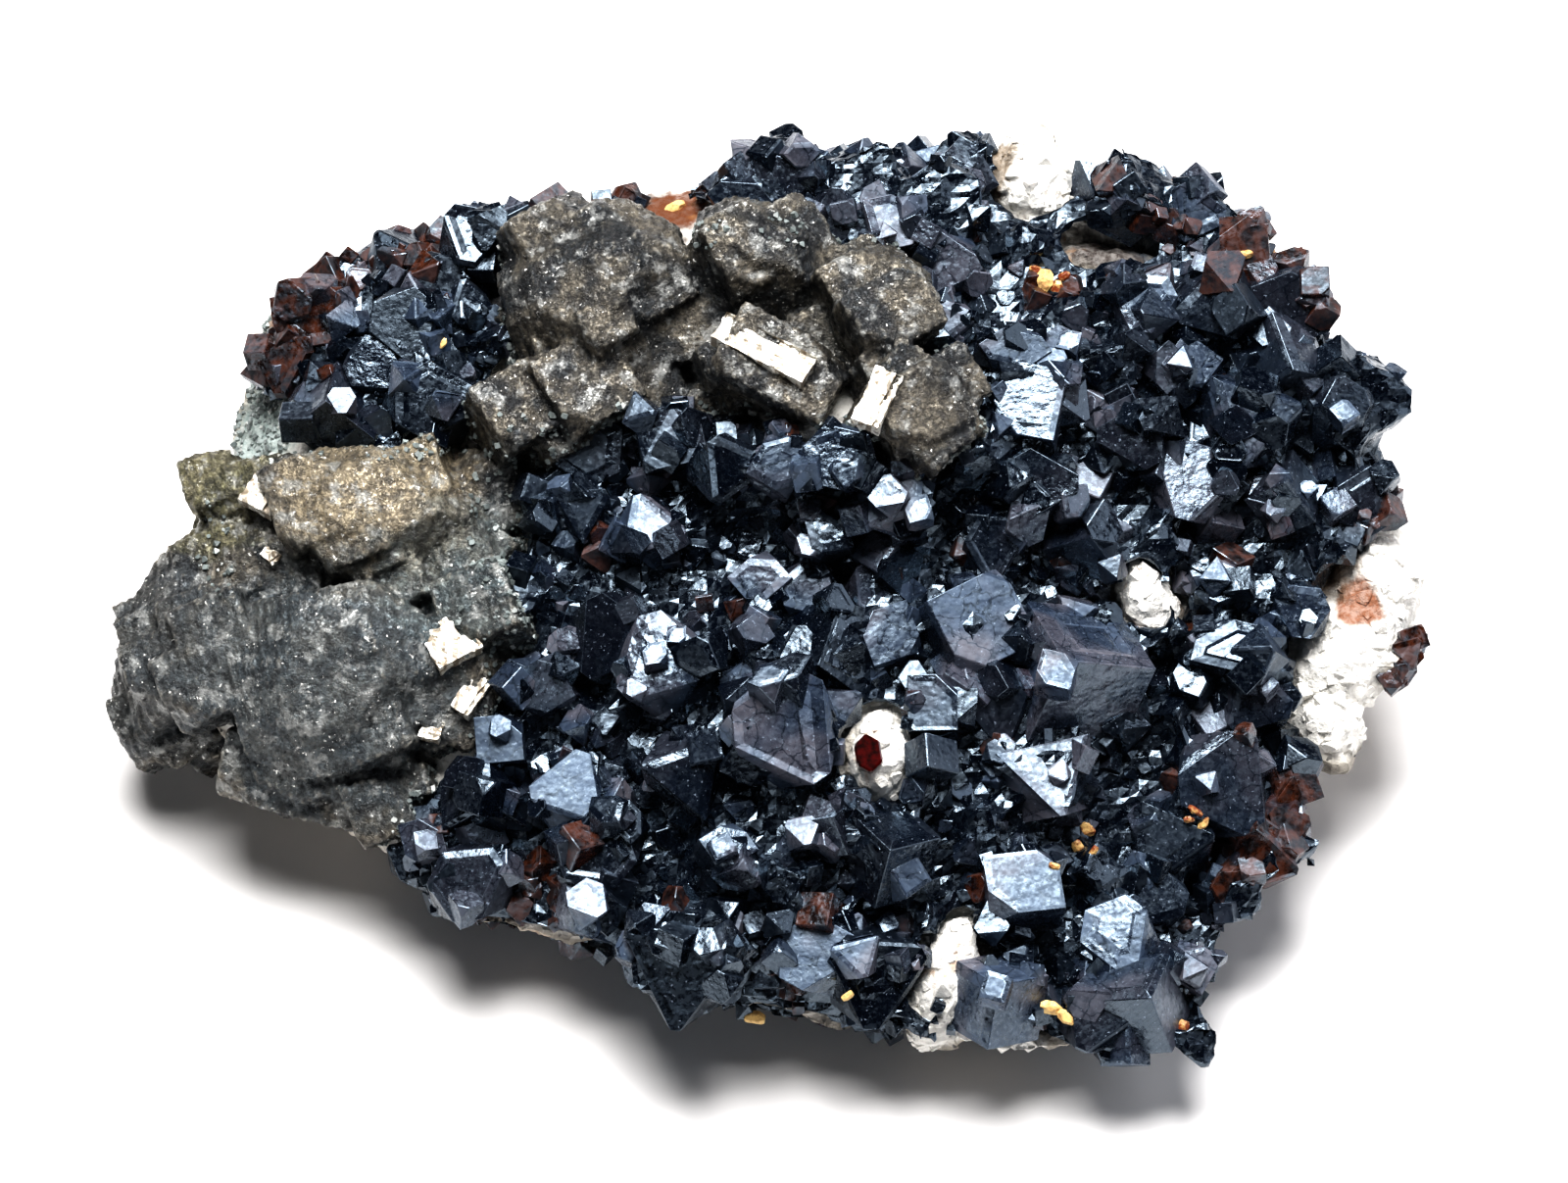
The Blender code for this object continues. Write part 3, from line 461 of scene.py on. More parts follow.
def select_only(obj):
    deselect()
    obj.select_set(True)
    bpy.context.view_layer.objects.active = obj


def apply_all(obj):
    """Applies an object's modifiers in their order."""
    select_only(obj)
    for modifier in list(obj.modifiers):
        bpy.ops.object.modifier_apply(modifier=modifier.name)


def join(name, copies):
    """One object from many, with all modelling done."""
    deselect()
    for obj in copies:
        obj.select_set(True)
    bpy.context.view_layer.objects.active = copies[0]
    bpy.ops.object.join()
    joined = bpy.context.object
    joined.name = name
    joined.data.name = name
    bpy.ops.object.transform_apply(location=True, rotation=True, scale=True)
    return joined


def note(mesh, name, value):
    """Writes one number on all faces of a mesh, for its material to read."""
    layer = mesh.attributes.get(name) or mesh.attributes.new(name, "FLOAT", "FACE")
    layer.data.foreach_set("value", [value] * len(mesh.polygons))


def note_points(mesh, name, values):
    """Writes a number on each point of a mesh."""
    mesh.attributes.new(name, "FLOAT", "POINT").data.foreach_set("value", values)


def copy_to(prototype, matrix, tone=0.5):
    """A copy of a prototype with its own mesh, placed by a matrix."""
    copy = prototype.copy()
    copy.data = prototype.data.copy()
    copy.data.transform(matrix)
    note(copy.data, "tone", tone)
    bpy.context.scene.collection.objects.link(copy)
    return copy


def remove(objects):
    for obj in objects:
        bpy.data.objects.remove(obj)


def cut_crystal(habit, terraces, worn):
    """A block cut down to a crystal of unit radius, with growth plates and worn edges."""
    deselect()
    bpy.ops.mesh.primitive_cube_add(size=2.4)
    shape = bpy.context.object
    bpy.ops.object.mode_set(mode="EDIT")
    for form, share in HABITS[habit].items():
        for face in FORMS[form]:
            normal = Vector(face).normalized()
            distance = share * RNG.uniform(1 - FACE_SCATTER, 1 + FACE_SCATTER)
            bpy.ops.mesh.select_all(action="SELECT")
            bpy.ops.mesh.bisect(
                plane_co=normal * distance, plane_no=normal, use_fill=True, clear_outer=True,
            )
    bpy.ops.mesh.select_all(action="SELECT")
    bpy.ops.mesh.remove_doubles(threshold=0.04)
    bpy.ops.mesh.normals_make_consistent(inside=False)
    bpy.ops.object.mode_set(mode="OBJECT")
    if habit in STANDS_ON_DIAGONAL:
        stand = Vector((1, 1, 1)).rotation_difference(Vector((0, 0, 1)))
        shape.data.transform(stand.to_matrix().to_4x4())
    for _ in range(terraces):
        grow_plate(shape)
    bevel = shape.modifiers.new("worn edges", "BEVEL")
    bevel.width = worn
    bevel.segments = 2 if terraces > 3 else 1
    bevel.limit_method = "ANGLE"
    bevel.angle_limit = math.radians(12)
    apply_all(shape)
    return shape


def grow_plate(shape):
    """Raises or sinks a plate on one of the large faces, as crystals grow in layers."""
    large = sorted(shape.data.polygons, key=lambda face: face.area)[-5:]
    chosen = RNG.choice(large)
    reach = math.sqrt(chosen.area)
    index = chosen.index
    bpy.ops.object.mode_set(mode="EDIT")
    bpy.ops.mesh.select_mode(type="FACE")
    bpy.ops.mesh.select_all(action="DESELECT")
    bpy.ops.object.mode_set(mode="OBJECT")
    shape.data.polygons[index].select = True
    bpy.ops.object.mode_set(mode="EDIT")
    bpy.ops.mesh.inset(thickness=reach * RNG.uniform(0.06, 0.2), depth=RNG.uniform(-0.05, 0.07))
    slip = Vector((RNG.uniform(-0.05, 0.05), RNG.uniform(-0.05, 0.05), 0))
    bpy.ops.transform.translate(value=slip)
    bpy.ops.object.mode_set(mode="OBJECT")


def prototypes(terraces, worn, count):
    """Some crystals of each habit, to be copied."""
    habits = [habit for habit in HABITS if habit != "lump"]
    return [cut_crystal(habit, terraces, worn) for habit in habits for _ in range(count)]


def lies_in(place, ellipses):
    return any(math.hypot((place[0] - x) / a, (place[1] - y) / b) < 1 for x, y, a, b in ellipses)


def tone_at(place):
    """Tone of an unlisted crystal: mostly black, and brown where the rock is rusty."""
    if lies_in(place, [(x, y, reach, reach) for x, y, reach in RUSTY]):
        return RNG.uniform(1.1, 2.0)
    return RNG.random() ** 3 if RNG.random() > 0.06 else RNG.uniform(1.1, 1.5)


def surface_samples(obj, count):
    """Random points on a mesh, each with its face's normal."""
    mesh = obj.data
    faces = list(mesh.polygons)
    areas = [face.area for face in faces]
    samples = []
    for face in RNG.choices(faces, weights=areas, k=count):
        a, b, c = (mesh.vertices[i].co for i in face.vertices[:3])
        s, t = RNG.random(), RNG.random()
        if s + t > 1:
            s, t = 1 - s, 1 - t
        samples.append((a + (b - a) * s + (c - a) * t, face.normal.copy()))
    return samples


def random_vector(spread):
    return Vector((RNG.gauss(0, spread), RNG.gauss(0, spread), RNG.gauss(0, spread)))


def random_turn(direction):
    """Rotation whose Z points along a direction, spun by chance."""
    return turned_to(direction, RNG.uniform(0, math.tau)).to_4x4()


def placed(point, turn, breadth):
    """Matrix that sets a crystal of unit radius at a point, turned and as broad as given."""
    return Matrix.Translation(point) @ turn @ Matrix.Scale(breadth / 2, 4)


def fine_copy(name, node, grain):
    """A CAD node's shape as one evenly meshed surface."""
    fine = node.copy()
    fine.data = node.data.copy()
    fine.name = name
    fine.data.name = name
    for key in list(fine.keys()):
        del fine[key]
    fine.parent = None
    bpy.context.scene.collection.objects.link(fine)
    select_only(fine)
    bpy.ops.object.mode_set(mode="EDIT")
    bpy.ops.mesh.select_all(action="SELECT")
    bpy.ops.mesh.remove_doubles(threshold=1e-7)
    bpy.ops.object.mode_set(mode="OBJECT")
    remesh = fine.modifiers.new("even mesh", "REMESH")
    remesh.mode = "VOXEL"
    remesh.voxel_size = grain
    return fine


def relief(obj, kind, size, strength, detail=2, group=""):
    """Moves a surface in and out by a cloud or a pit pattern, its size and strength in mm."""
    texture = bpy.data.textures.new(kind.lower(), kind)
    texture.noise_scale = size * MM
    if kind == "CLOUDS":
        texture.noise_depth = detail
    displace = obj.modifiers.new("relief", "DISPLACE")
    displace.texture = texture
    displace.texture_coords = "LOCAL"
    displace.mid_level = 0.5
    displace.strength = strength * MM
    displace.vertex_group = group


def set_blocks(obj, turn, count, ledges):
    """Sets blocks of one common direction into a surface, which the even mesh then merges with it."""
    shapes = [cut_crystal("block", BLOCK_PLATES, BLOCK_WEAR) for _ in range(4)]
    blocks = []
    for point, normal in surface_samples(obj, count):
        own = turn @ Matrix.Rotation(RNG.gauss(0, 0.08), 3, "X")
        half = RNG.uniform(*BLOCK_HALF) * MM
        rise = RNG.uniform(*BLOCK_RISE) * MM if normal.dot(UP) < 0.35 else TOP_RISE
        reach = half * HABITS["block"]["cube"] * sum(abs(normal.dot(axis)) for axis in own.col)
        centre = point - normal * (reach - rise)
        centre.z = max(centre.z, half)
        blocks.append(copy_to(RNG.choice(shapes), placed(centre, own.to_4x4(), 2 * half)))
    rock = tree_of(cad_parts["matrix_rock"])
    for x, y, breadth, rise in ledges:
        half = breadth / 2 * MM
        centre = seen_on(rock, (x, y)) + TOWARDS * rise * MM
        centre.z = max(centre.z, half)
        own = turn @ Matrix.Rotation(RNG.uniform(-0.5, 0.5), 3, "Z")
        blocks.append(copy_to(RNG.choice(shapes), placed(centre, own.to_4x4(), 2 * half)))
    remove(shapes)
    join(obj.name, [obj, *blocks])


def plates(obj, direction, spacing, depth):
    """Moves a surface in steps, like the edges of stacked plates."""
    texture = bpy.data.textures.new("plates", "WOOD")
    texture.wood_type = "BANDNOISE"
    texture.noise_basis_2 = "SAW"
    texture.turbulence = 4
    bpy.ops.object.empty_add(rotation=[math.radians(angle) for angle in direction])
    guide = bpy.context.object
    guide.name = "plate_direction"
    guide.scale = (spacing, spacing, spacing)
    displace = obj.modifiers.new("plates", "DISPLACE")
    displace.texture = texture
    displace.texture_coords = "OBJECT"
    displace.texture_coords_object = guide
    displace.strength = depth
    return guide


def soften(obj, rounds):
    """Wears the sharpest points of a surface down."""
    smooth = obj.modifiers.new("worn points", "SMOOTH")
    smooth.iterations = rounds
    smooth.factor = 0.5


def keep_inside(obj):
    """Brings what reaches under the floor or over the highest point back to it."""
    for vert in obj.data.vertices:
        vert.co.z = min(max(vert.co.z, 0.0), HIGHEST)


def mark_ridges(obj):
    """Writes on each point how far it stands out from its neighbours: 0.5 is level, more is a ridge."""
    shape = bmesh.new()
    shape.from_mesh(obj.data)
    heights = []
    for vert in shape.verts:
        near = [edge.other_vert(vert).co for edge in vert.link_edges]
        middle = sum(near, Vector()) / len(near)
        heights.append((vert.co - middle).dot(vert.normal))
    smooth = []
    for vert in shape.verts:
        near = [heights[edge.other_vert(vert).index] for edge in vert.link_edges]
        smooth.append((heights[vert.index] + sum(near)) / (1 + len(near)))
    shape.free()
    note_points(obj.data, "ridge", [0.5 + height / RIDGE_SPAN for height in smooth])


def settle(obj, material):
    """Gives a finished piece its material and body."""
    obj.data.materials.clear()
    obj.data.materials.append(material)
    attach(obj, BODY)


# Node tools

class Nodes:
    """Short hand for building one node tree."""

    def __init__(self, tree):
        self.tree = tree

    def link(self, output, target):
        self.tree.links.new(output, target)

    def feed(self, node, inputs):
        """Gives each input a number, a vector, a colour or its name in COLOURS, or links a socket."""
        for name, value in inputs.items():
            socket = node.inputs[name]
            if isinstance(value, str):
                value = COLOURS[value]
            if isinstance(value, bpy.types.NodeSocket):
                self.link(value, socket)
            elif socket.type == "RGBA":
                socket.default_value = (*value, 1)
            else:
                socket.default_value = value

    def add(self, kind, inputs=None, **values):
        """A node with its settings and its inputs, each by its name or its place."""
        node = self.tree.nodes.new(kind)
        for name, value in values.items():
            setattr(node, name, value)
        self.feed(node, inputs or {})
        return node

    def attribute(self, name):
        return self.add("ShaderNodeAttribute", attribute_name=name).outputs["Fac"]

    def noise(self, vector, size, detail=3, rough=0.55):
        inputs = {"Vector": vector, "Scale": 1 / size, "Detail": detail, "Roughness": rough}
        return self.add("ShaderNodeTexNoise", inputs).outputs["Fac"]

    def ramp(self, value, low, high, to_low=0, to_high=1):
        """Maps a range smoothly to another one."""
        inputs = {"Value": value, "From Min": low, "From Max": high, "To Min": to_low, "To Max": to_high}
        return self.add("ShaderNodeMapRange", inputs, interpolation_type="SMOOTHSTEP").outputs["Result"]

    def patches(self, vector, size, detail, rough, low, high, to_low=0, to_high=1):
        """Noise with its middle range spread out to clear patches."""
        return self.ramp(self.noise(vector, size, detail, rough), low, high, to_low, to_high)

    def math(self, operation, *values):
        return self.add("ShaderNodeMath", dict(enumerate(values)), operation=operation).outputs[0]

    def times(self, first, second):
        return self.math("MULTIPLY", first, second)

    def mix(self, factor, first, second):
        """Colour mix; each colour is a socket, a red, green, blue triple or a name in COLOURS."""
        return self.add("ShaderNodeMix", {0: factor, 6: first, 7: second}, data_type="RGBA").outputs[2]

    def cover(self, colour, *layers):
        """Lays colours over one another, each by its mask."""
        for mask, tint in layers:
            colour = self.mix(mask, colour, tint)
        return colour

    def bump(self, height, depth):
        return self.add("ShaderNodeBump", {"Height": height, "Distance": depth}).outputs["Normal"]

    def group(self, name, **inputs):
        return self.add("ShaderNodeGroup", inputs, node_tree=bpy.data.node_groups[name])


def new_group(name, inputs, outputs):
    """Empty node group with its sockets, and handles to its two ends."""
    tree = bpy.data.node_groups.new(name, "ShaderNodeTree")
    for label, kind in inputs:
        tree.interface.new_socket(label, in_out="INPUT", socket_type=kind)
    for label, kind in outputs:
        tree.interface.new_socket(label, in_out="OUTPUT", socket_type=kind)
    nodes = Nodes(tree)
    return nodes, nodes.add("NodeGroupInput"), nodes.add("NodeGroupOutput")


def zone_group():
    """Mask that is 1 round a point of the specimen and fades out with a ragged edge."""
    nodes, start, end = new_group(
        "Zone",
        [("Coordinates", "NodeSocketVector"), ("Centre", "NodeSocketVector"), ("Reach", "NodeSocketFloat")],
        [("Mask", "NodeSocketFloat")],
    )
    where, centre, reach = start.outputs[:3]
    apart = nodes.add("ShaderNodeVectorMath", {0: where, 1: centre}, operation="DISTANCE")
    share = nodes.math("DIVIDE", apart.outputs["Value"], reach)
    wander = nodes.math("MULTIPLY_ADD", nodes.noise(where, 1.6 * MM, 4), 1.1, -0.55)
    nodes.link(nodes.ramp(nodes.math("ADD", share, wander), 0.75, 1.15, 1, 0), end.inputs["Mask"])


def facet_group():
    """Two numbers between 0 and 1 for each flat face, by the way that it points."""
    nodes, _, end = new_group("Facet", [], [("Value", "NodeSocketFloat"), ("Second", "NodeSocketFloat")])
    normal = nodes.add("ShaderNodeNewGeometry").outputs["True Normal"]
    snapped = nodes.add("ShaderNodeVectorMath", {0: normal, 1: (0.04, 0.04, 0.04)}, operation="SNAP")
    white = nodes.add("ShaderNodeTexWhiteNoise", {"Vector": snapped.outputs[0]}, noise_dimensions="3D")
    split = nodes.add("ShaderNodeSeparateColor", {0: white.outputs["Color"]})
    nodes.link(white.outputs["Value"], end.inputs["Value"])
    nodes.link(split.outputs[1], end.inputs["Second"])


def growth_group():
    """Height of the fine steps, ripples and grains that a crystal face has."""
    nodes, start, end = new_group(
        "Growth", [("Coordinates", "NodeSocketVector"), ("Facet", "NodeSocketFloat")],
        [("Height", "NodeSocketFloat")],
    )
    where, facet = start.outputs[:2]
    inputs = {"Vector": where, "Axis": (0.4, 0.7, 0.6), "Angle": nodes.times(facet, 6.28)}
    turned = nodes.add("ShaderNodeVectorRotate", inputs, rotation_type="AXIS_ANGLE")
    steps = nodes.add(
        "ShaderNodeTexWave", {"Vector": turned.outputs[0], "Scale": 0.9 / MM, "Distortion": 2.4, "Detail": 2},
        wave_type="BANDS", wave_profile="SAW",
    )
    bands = nodes.times(steps.outputs["Fac"], nodes.ramp(facet, 0.45, 0.6))
    ripple = nodes.times(nodes.noise(where, 1.1 * MM, 2), 4)
    grain = nodes.times(nodes.noise(where, 0.20 * MM, 3), nodes.ramp(facet, 0.2, 0.45, 0.9, 0.3))
    nodes.link(nodes.math("ADD", nodes.math("ADD", bands, ripple), grain), end.inputs["Height"])


def cracks_group():
    """Thin crooked lines, dark on a line and 1 away from it, and fine specks, used as painted sparkle."""
    nodes, start, end = new_group(
        "Cracks", [("Coordinates", "NodeSocketVector")],
        [("Clear", "NodeSocketFloat"), ("Specks", "NodeSocketFloat")],
    )
    where = start.outputs[0]
    drift = nodes.add("ShaderNodeTexNoise", {"Vector": where, "Scale": 1 / CRACK_DRIFT})
    bent = nodes.add(
        "ShaderNodeVectorMath", {0: drift.outputs["Color"], 1: [CRACK_DRIFT] * 3, 2: where},
        operation="MULTIPLY_ADD",
    )
    inputs = {"Vector": bent.outputs[0], "Scale": 1 / CRACK_SPACING}
    cells = nodes.add("ShaderNodeTexVoronoi", inputs, feature="DISTANCE_TO_EDGE")
    nodes.link(nodes.ramp(cells.outputs["Distance"], 0, 0.05, 0.25, 1), end.inputs["Clear"])
    nodes.link(nodes.patches(where, 0.22 * MM, 2, 0.55, 0.66, 0.72), end.inputs["Specks"])


def new_material(name):
    """Material with handles to its nodes, its shader and its object coordinates."""
    made = bpy.data.materials.new(name)
    made.use_nodes = True
    nodes = Nodes(made.node_tree)
    shader = made.node_tree.nodes["Principled BSDF"]
    where = nodes.add("ShaderNodeTexCoord").outputs["Object"]
    return made, nodes, shader, where


def blende_material():
    """Sphalerite: brilliant faces, black or slate grey with a dull film, or clear brown, with painted sparkle
    in fine pale specks.
    """
    made, nodes, shader, where = new_material("lustrous_blende")
    facet, second = nodes.group("Facet").outputs
    tone = nodes.attribute("tone")
    clear, specks = nodes.group("Cracks", Coordinates=where).outputs
    film = nodes.patches(where, 0.9 * MM, 6, 0.7, 0.36, 0.62, 0.55, 1)
    dusty = nodes.times(nodes.times(nodes.ramp(tone, 0, 1), film), nodes.ramp(facet, 0, 1, 0.45, 1))
    dusty = nodes.times(dusty, clear)
    brown = nodes.mix(nodes.patches(where, 0.9 * MM, 4, 0.6, 0.38, 0.64), "deep brown", "clear brown")
    colour = nodes.cover(
        nodes.mix(dusty, settings().blende_colour[:], "film"),
        (nodes.times(dusty, nodes.patches(where, 6 * MM, 2, 0.55, 0.44, 0.56)), "rosy film"),
        # painted sparkle: fine pale blue specks laid on the faces
        (nodes.times(specks, 0.5), "sparkle speck"),
        (nodes.ramp(tone, 1.0, 1.3), brown),
    )
    gloss = nodes.math("MULTIPLY_ADD", dusty, 0.22, nodes.ramp(facet, 0, 1, 0.09, 0.30))
    uneven = nodes.patches(where, 0.34 * MM, 5, 0.7, 0.42, 0.62, 0, 0.20)
    growth = nodes.group("Growth", Coordinates=where, Facet=second).outputs[0]
    nodes.feed(shader, {
        "Base Color": colour, "Roughness": nodes.math("ADD", gloss, uneven), "IOR": 2.37,
        "Specular IOR Level": 0.34, "Specular Tint": (0.68, 0.84, 1.0),
        "Normal": nodes.bump(growth, 0.030 * MM),
    })
    return made


def galena_material():
    """Dull tarnished lead ore, mottled brown and grey, with fine pits, painted shade in its hollows, painted
    highlights on its ridges and painted glints in pale patches and a few bright specks.
    """
    made, nodes, shader, where = new_material("tarnished_galena")
    ridge = nodes.attribute("ridge")
    grain = nodes.patches(where, 0.30 * MM, 4, 0.7, 0.42, 0.62)
    colour = nodes.mix(nodes.patches(where, 3.4 * MM, 5, 0.6, 0.40, 0.60), "galena grey", "galena brown")
    colour = nodes.mix(nodes.times(grain, 0.6), colour, "galena grain")
    for centre, reach, tint, share in GALENA_ZONES:
        zone = nodes.group("Zone", Coordinates=where, Centre=Vector(centre) * MM, Reach=reach * MM)
        patchy = nodes.times(zone.outputs[0], nodes.ramp(grain, 0, 1, share, share * 0.6))
        colour = nodes.mix(patchy, colour, tint)
    # painted glints: a few near-white specks, strewn in patches, where the galena is also less rough
    strewn = nodes.patches(where, 2.6 * MM, 3, 0.55, 0.42, 0.58, 0, 0.05)
    speck = nodes.ramp(nodes.math("ADD", nodes.noise(where, 0.28 * MM), strewn), 0.70, 0.73)
    colour = nodes.cover(
        colour,
        # painted shade: darkens the galena where a point lies lower than its neighbours
        (nodes.ramp(ridge, 0, 0.42, 0.75, 0), "galena hollow shade"),
        # painted highlight: lightens the galena where a point stands out over its neighbours
        (nodes.ramp(ridge, 0.62, 1.1, 0, 0.45), "galena ridge highlight"),
        (nodes.patches(where, 0.75 * MM, 6, 0.75, 0.40, 0.60, 0, 0.62), "galena salt"),
        # painted glints: pale patches laid over the galena
        (nodes.patches(where, 1.3 * MM, 5, 0.65, 0.52, 0.64, 0, 0.55), "galena glint patches"),
        (speck, "galena glint"),
    )
    dull = nodes.patches(where, 1.1 * MM, 4, 0.55, 0.35, 0.7, 0.25, 0.52)
    height = nodes.math("MULTIPLY_ADD", grain, -0.35, nodes.noise(where, 0.5 * MM, 5, 0.65))
    nodes.feed(shader, {
        "Base Color": colour, "Roughness": nodes.math("MULTIPLY_ADD", speck, -0.2, dull),
        "Metallic": 0.55, "Normal": nodes.bump(height, 0.11 * MM),
    })
    return made


def cleavage_material():
    """Freshly split galena: a bright stepped mirror."""
    made, nodes, shader, where = new_material("bright_cleavage")
    bands = nodes.add(
        "ShaderNodeTexWave", {"Vector": where, "Scale": 0.24 / MM, "Distortion": 1.5},
        wave_type="BANDS", bands_direction="X",
    )
    worn = nodes.patches(where, 0.55 * MM, 4, 0.65, 0.48, 0.62)
    patch = nodes.math("MAXIMUM", nodes.ramp(bands.outputs["Fac"], 0.80, 0.90, 0, 0.85), worn)
    nodes.feed(shader, {
        "Base Color": nodes.mix(patch, "cleavage", "tarnish"), "Metallic": 0.4,
        "Roughness": nodes.patches(where, 0.4 * MM, 3, 0.55, 0.3, 0.7, 0.25, 0.5),
        "Normal": nodes.bump(nodes.noise(where, 0.35 * MM, 4), 0.06 * MM),
    })
    return made


def rock_material():
    """White granular carbonate, rust-stained along cracks and brown where blende is near."""
    made, nodes, shader, where = new_material("granular_rock")
    side, ridge, clean = (nodes.attribute(name) for name in ("side", "ridge", "clean"))
    grain = nodes.patches(where, 0.5 * MM, 5, 0.7, 0.35, 0.65)
    colour = nodes.mix(grain, "rock shade", settings().rock_colour[:])
    rock = tree_of(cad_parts["matrix_rock"])
    for x, y, reach, tint in ROCK_STAINS:
        zone = nodes.group("Zone", Coordinates=where, Centre=seen_on(rock, (x, y)), Reach=reach * MM)
        colour = nodes.mix(nodes.times(zone.outputs[0], nodes.ramp(grain, 0, 1, 0.97, 0.80)), colour, tint)
    height = nodes.add("ShaderNodeSeparateXYZ", {0: where}).outputs["Z"]
    low = nodes.times(nodes.ramp(height, 3.5 * MM, 8.5 * MM, 0.8, 0), nodes.ramp(grain, 0, 1, 1, 0.7))
    broken = nodes.mix(nodes.patches(where, 4 * MM, 5, 0.65, 0.38, 0.62), "broken dark", "broken pale")
    soil = nodes.patches(where, 6 * MM, 4, 0.6, 0.54, 0.68)
    rust = nodes.times(soil, nodes.patches(where, 1.3 * MM, 4, 0.55, 0.5, 0.66))
    colour = nodes.cover(
        colour,
        (nodes.times(low, nodes.math("SUBTRACT", 1, clean)), "low rock"),
        (nodes.times(side, 0.85), broken),
        (nodes.times(side, nodes.patches(where, 0.9 * MM, 2, 0.55, 0.66, 0.70)), "fleck"),
        # darker in the hollows, where a point lies lower than its neighbours
        (nodes.ramp(ridge, 0, 0.4, 0.2, 0), "hollow darkening"),
        (nodes.times(rust, 0.8), "rust"),
    )
    lumps = nodes.math("ADD", nodes.noise(where, 0.45 * MM, 5, 0.65), nodes.noise(where, 2.2 * MM))
    nodes.feed(shader, {"Base Color": colour, "Roughness": 0.72, "Normal": nodes.bump(lumps, 0.25 * MM)})
    return made


def frost_material():
    """Fine pale green-grey grains, a few of them clean white."""
    made, nodes, shader, where = new_material("pale_frost")
    tone = nodes.attribute("tone")
    colour = nodes.cover(
        nodes.mix(nodes.ramp(tone, 0.2, 0.8), "dark frost", "pale frost"),
        (nodes.ramp(tone, 0.86, 0.9), "white frost"),
        (nodes.noise(where, 0.3 * MM), "grey frost"),
    )
    grain = nodes.bump(nodes.noise(where, 0.12 * MM), 0.02 * MM)
    nodes.feed(shader, {"Base Color": colour, "Roughness": 0.35, "Normal": grain})
    return made


def ochre_material():
    """Iron-stained carbonate, each grain from rust brown to yellow."""
    made, nodes, shader, where = new_material("ochre_grain")
    uneven = nodes.patches(where, 0.5 * MM, 4, 0.7, 0.35, 0.65, -0.5, 0.5)
    tint = nodes.math("ADD", nodes.attribute("tone"), uneven)
    grain = nodes.bump(nodes.noise(where, 0.3 * MM), 0.08 * MM)
    colour = nodes.mix(tint, "rusty grain", "yellow grain")
    nodes.feed(shader, {"Base Color": colour, "Roughness": 0.35, "Normal": grain})
    return made


def ruby_material():
    """Clear dark red blende."""
    made, nodes, shader, where = new_material("ruby_blende")
    colour = nodes.mix(nodes.patches(where, 0.9 * MM, 3, 0.55, 0.4, 0.6), "deep red", "bright red")
    nodes.feed(shader, {"Base Color": colour, "Roughness": 0.12, "IOR": 2.3})
    return made


def floor_material():
    """Matt white paper, faintly uneven."""
    made, nodes, shader, where = new_material("pale_floor")
    colour = nodes.mix(nodes.patches(where, 40 * MM, 2, 0.55, 0.3, 0.7), "floor", "bright floor")
    nodes.feed(shader, {"Base Color": colour, "Roughness": 0.8, "Specular IOR Level": 0.1})
    return made


# Operators

class SPECIMEN_OT_blende(Operator):
    """Makes the massive blende and the large crystals on it"""
    bl_idname = "specimen.blende"
    bl_label = "Make large blende crystals"

    def execute(self, context):
        RNG.seed(SEEDS["blende"])
        black = blende_material()
        rock = tree_of(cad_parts["matrix_rock"])
        for name in LISTED:
            slot, ground, rise = "black_blende", rock, CRUST_THICKNESS
            if name == "sphalerite_spur":
                slot, ground, rise = "brown_blende", tree_of(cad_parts[name]), 0
            for piece in (self.massive(name, rise), self.large(name, ground, rise)):
                settle(piece, black)
                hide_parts(name)
        return {"FINISHED"}

    def massive(self, name, rise):
        """The crust under the crystals, a little lower than its solid."""
        crust = fine_copy(name + "_massive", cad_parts[name], MASSIVE_GRAIN)
        shrink = crust.modifiers.new("below the crystals", "DISPLACE")
        shrink.mid_level = 0
        shrink.strength = -SUNK_SHARE * rise - SUNK_LEAST
        relief(crust, *BLENDE_RELIEF)
        apply_all(crust)
        note(crust.data, "tone", MASSIVE_TONE)
        return crust

    def large(self, name, ground, rise):
        """The listed crystals, each cut on its own and set at its place."""
        crystals = []
        for x, y, breadth, habit, right, up, spin, tone in LISTED[name]:
            shape = cut_crystal(habit, LARGE_PLATES, LARGE_WEAR)
            point = seen_on(ground, (x, y)) + TOWARDS * (rise + RAISED * breadth * MM)
            shape.data.transform(placed(point, leaning(right, up, spin).to_4x4(), breadth * MM))
            note(shape.data, "tone", tone)
            crystals.append(shape)
        return join(name + "_large", crystals)


